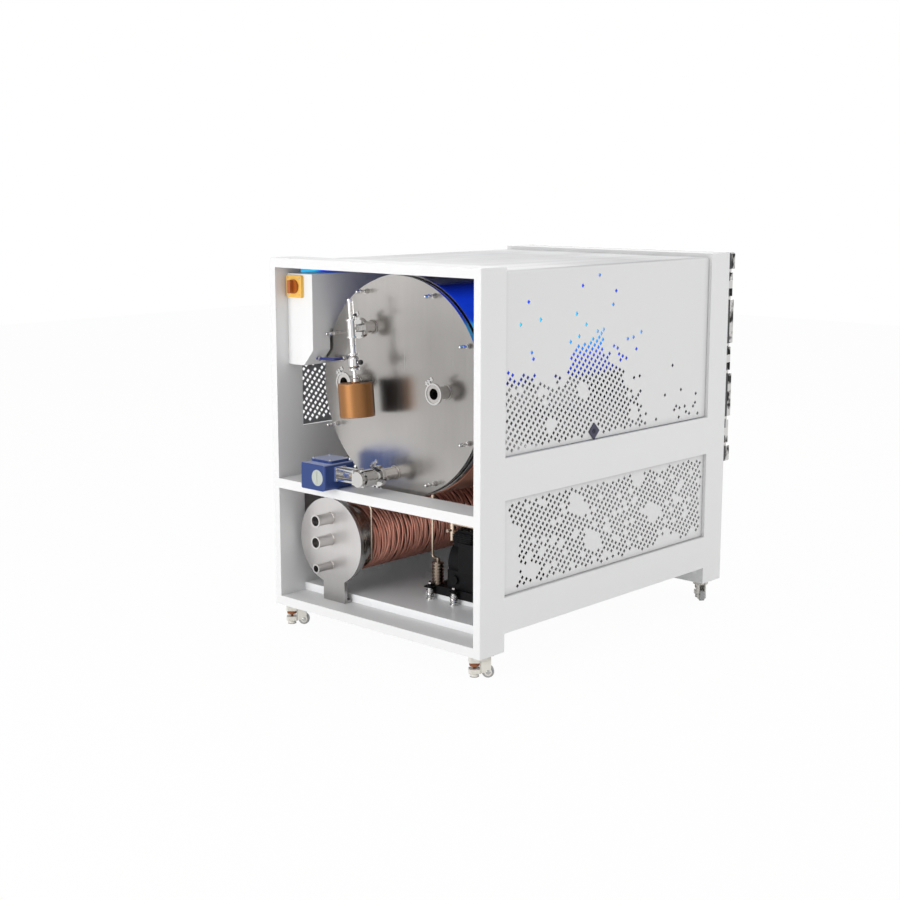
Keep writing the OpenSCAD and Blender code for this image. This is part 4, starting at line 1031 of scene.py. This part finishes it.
def makeDrainValveParts():
    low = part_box("drain_valve")[0]
    pipeLow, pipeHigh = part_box("drain_pipe")
    actLow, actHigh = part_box("valve_actuator")
    axisX, axisZ = (pipeLow.x + pipeHigh.x) / 2, (pipeLow.z + pipeHigh.z) / 2
    nuts = bmesh.new()
    for degrees in (45, 135, 225, 315):
        a = math.radians(degrees)
        x = axisX + drainValve["tieRing"] * math.cos(a)
        z = axisZ + drainValve["tieRing"] * math.sin(a)
        for rise, way, thick in drainValve["tieNuts"]:
            addHexNut(nuts, (x, low.y + rise, z), (0, way, 0), drainValve["tieFlats"], thick, a)
    stemY = low.y + drainValve["stemPlace"]
    bracketX = axisX + drainValve["bracketPlace"]
    for dy in (-drainValve["bracketBolt"], drainValve["bracketBolt"]):
        for dz in (-drainValve["bracketBolt"], drainValve["bracketBolt"]):
            addHexNut(nuts, (bracketX, stemY + dy, axisZ + dz), (-1, 0, 0),
                      *drainValve["bracketNut"], 0.2)
    addPiece("valve_nuts", nuts, "zincSteel", smoothTo=25)
    gland = bmesh.new()
    addLathe(gland, (bracketX + drainValve["glandPlace"], stemY, axisZ), (1, 0, 0),
             drainValve["gland"], 24)
    addPiece("stem_gland", gland, "valveBrass", smoothTo=30)
    screws = bmesh.new()
    across, near, far = drainValve["lidBolts"]
    for x in (actLow.x + across, actHigh.x - across):
        for y in (actLow.y + near, actHigh.y - far):
            addHexBolt(screws, (x, y, actHigh.z), (0, 0, 1), *drainValve["lidHead"])
    addPiece("actuator_bolts", screws, "zincSteel", smoothTo=25)
    print("drain valve parts made")


makeDrainValveParts()

# knobs and collars of the vent line

ventLine = {
    "tee": (0.13806, 0.677, 1.1458),
    "lean": 5.0,  # degrees
    "nippleDrop": 0.119,
    "nippleReach": 0.033,
    "collarDrops": (0.060, 0.175),
    "collar": (0.0105, 0.0022),  # radius, half its thickness
    "topRise": 0.048,
    "topReach": 0.018,
    "lowKnob": ((0, 0), (0.0075, 0), (0.0085, 0.002), (0.0085, 0.010), (0.0065, 0.012), (0, 0.012)),
    "topKnob": ((0, 0), (0.004, 0), (0.0055, 0.002), (0.0055, 0.009), (0.004, 0.010), (0, 0.010)),
}


def makeVentParts():
    lean = math.radians(ventLine["lean"])
    down = Vector((-math.sin(lean), 0, -math.cos(lean)))
    out = Vector((-math.cos(lean), 0, math.sin(lean)))
    middle = Vector(ventLine["tee"]) + down * ventLine["nippleDrop"]
    tip = middle + out * ventLine["nippleReach"]
    knob = bmesh.new()
    addLathe(knob, tip - out * 0.004, out, ventLine["lowKnob"], 16)
    top = Vector(ventLine["tee"]) - down * ventLine["topRise"] + out * ventLine["topReach"]
    addLathe(knob, top, out, ventLine["topKnob"], 14)
    addPiece("vent_knobs", knob, "satinBlack", smoothTo=30)
    collars = bmesh.new()
    for drop in ventLine["collarDrops"]:
        addRing(collars, Vector(ventLine["tee"]) + down * drop, down, *ventLine["collar"], 28, 8)
    addPiece("vent_collars", collars, "brightSteel")
    print("vent parts made")


makeVentParts()

# screws of the isolator's plate

isolator = {"screwInset": 0.009, "screwRadius": 0.0035, "screwHeight": 0.0016}


def makeIsolatorScrews():
    low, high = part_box("isolator_plate")
    inset = isolator["screwInset"]
    heads = bmesh.new()
    for x in (low.x + inset, high.x - inset):
        for z in (low.z + inset, high.z - inset):
            addDome(heads, (x, high.y - 0.0001, z), (0, 1, 0), isolator["screwRadius"],
                    isolator["screwHeight"], 14)
    addPiece("isolator_screws", heads, "zincSteel")
    print("isolator screws made")


makeIsolatorScrews()

# castor bolts, wheel caps and dial ribs

castor = {
    "plateHalf": 0.0365,
    "boltPlace": 0.028,  # from the plate's middle
    "bolt": (0.010, 0.006),  # across flats, height
    "plateThick": 0.004,
    "axleReach": 0.0157,
    "capRadius": 0.0075,
    "capHeight": 0.0022,
    "dialFoot": 0.0415,  # underside of the thumb dial above the pad's sole
    "dialRadius": 0.017,
    "dialRibs": 24,
    "rib": ((0, 0), (0.0011, 0), (0.0011, 0.006), (0, 0.006)),
}


def makeCastorParts():
    low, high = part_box("castor_plates")
    half, out = castor["plateHalf"], castor["boltPlace"]
    bolts = bmesh.new()
    for x in (low.x + half, high.x - half):
        for y in (low.y + half, high.y - half):
            for dx in (-out, out):
                for dy in (-out, out):
                    addHexBolt(bolts, (x + dx, y + dy, high.z - castor["plateThick"]),
                               (0, 0, -1), *castor["bolt"])
    addPiece("castor_bolts", bolts, "zincSteel", smoothTo=25)
    for place in castorPlaces:
        wheelLow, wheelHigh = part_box("wheel_" + place)
        footLow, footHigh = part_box("foot_" + place)
        hub = (wheelLow + wheelHigh) / 2
        foot = (footLow + footHigh) / 2
        forward = Vector((foot.x - hub.x, foot.y - hub.y, 0)).normalized()
        axle = Vector((-forward.y, forward.x, 0))
        caps = bmesh.new()
        for side in (-1, 1):
            addDome(caps, hub + axle * side * castor["axleReach"], axle * side,
                    castor["capRadius"], castor["capHeight"], 18)
        addPiece("axle_caps_" + place, caps, "zincSteel",
                 body="castor_wheel_" + place)
        knurl = bmesh.new()
        dial = Vector((foot.x, foot.y, footLow.z + castor["dialFoot"]))
        for k in range(castor["dialRibs"]):
            a = math.tau * k / castor["dialRibs"]
            way = Vector((math.cos(a), math.sin(a), 0))
            addLathe(knurl, dial + way * castor["dialRadius"], (0, 0, 1), castor["rib"], 6)
        addPiece("dial_ribs_" + place, knurl, "footParts",
                 body="castor_foot_" + place, smoothTo=30)
    print("castor parts made")


makeCastorParts()
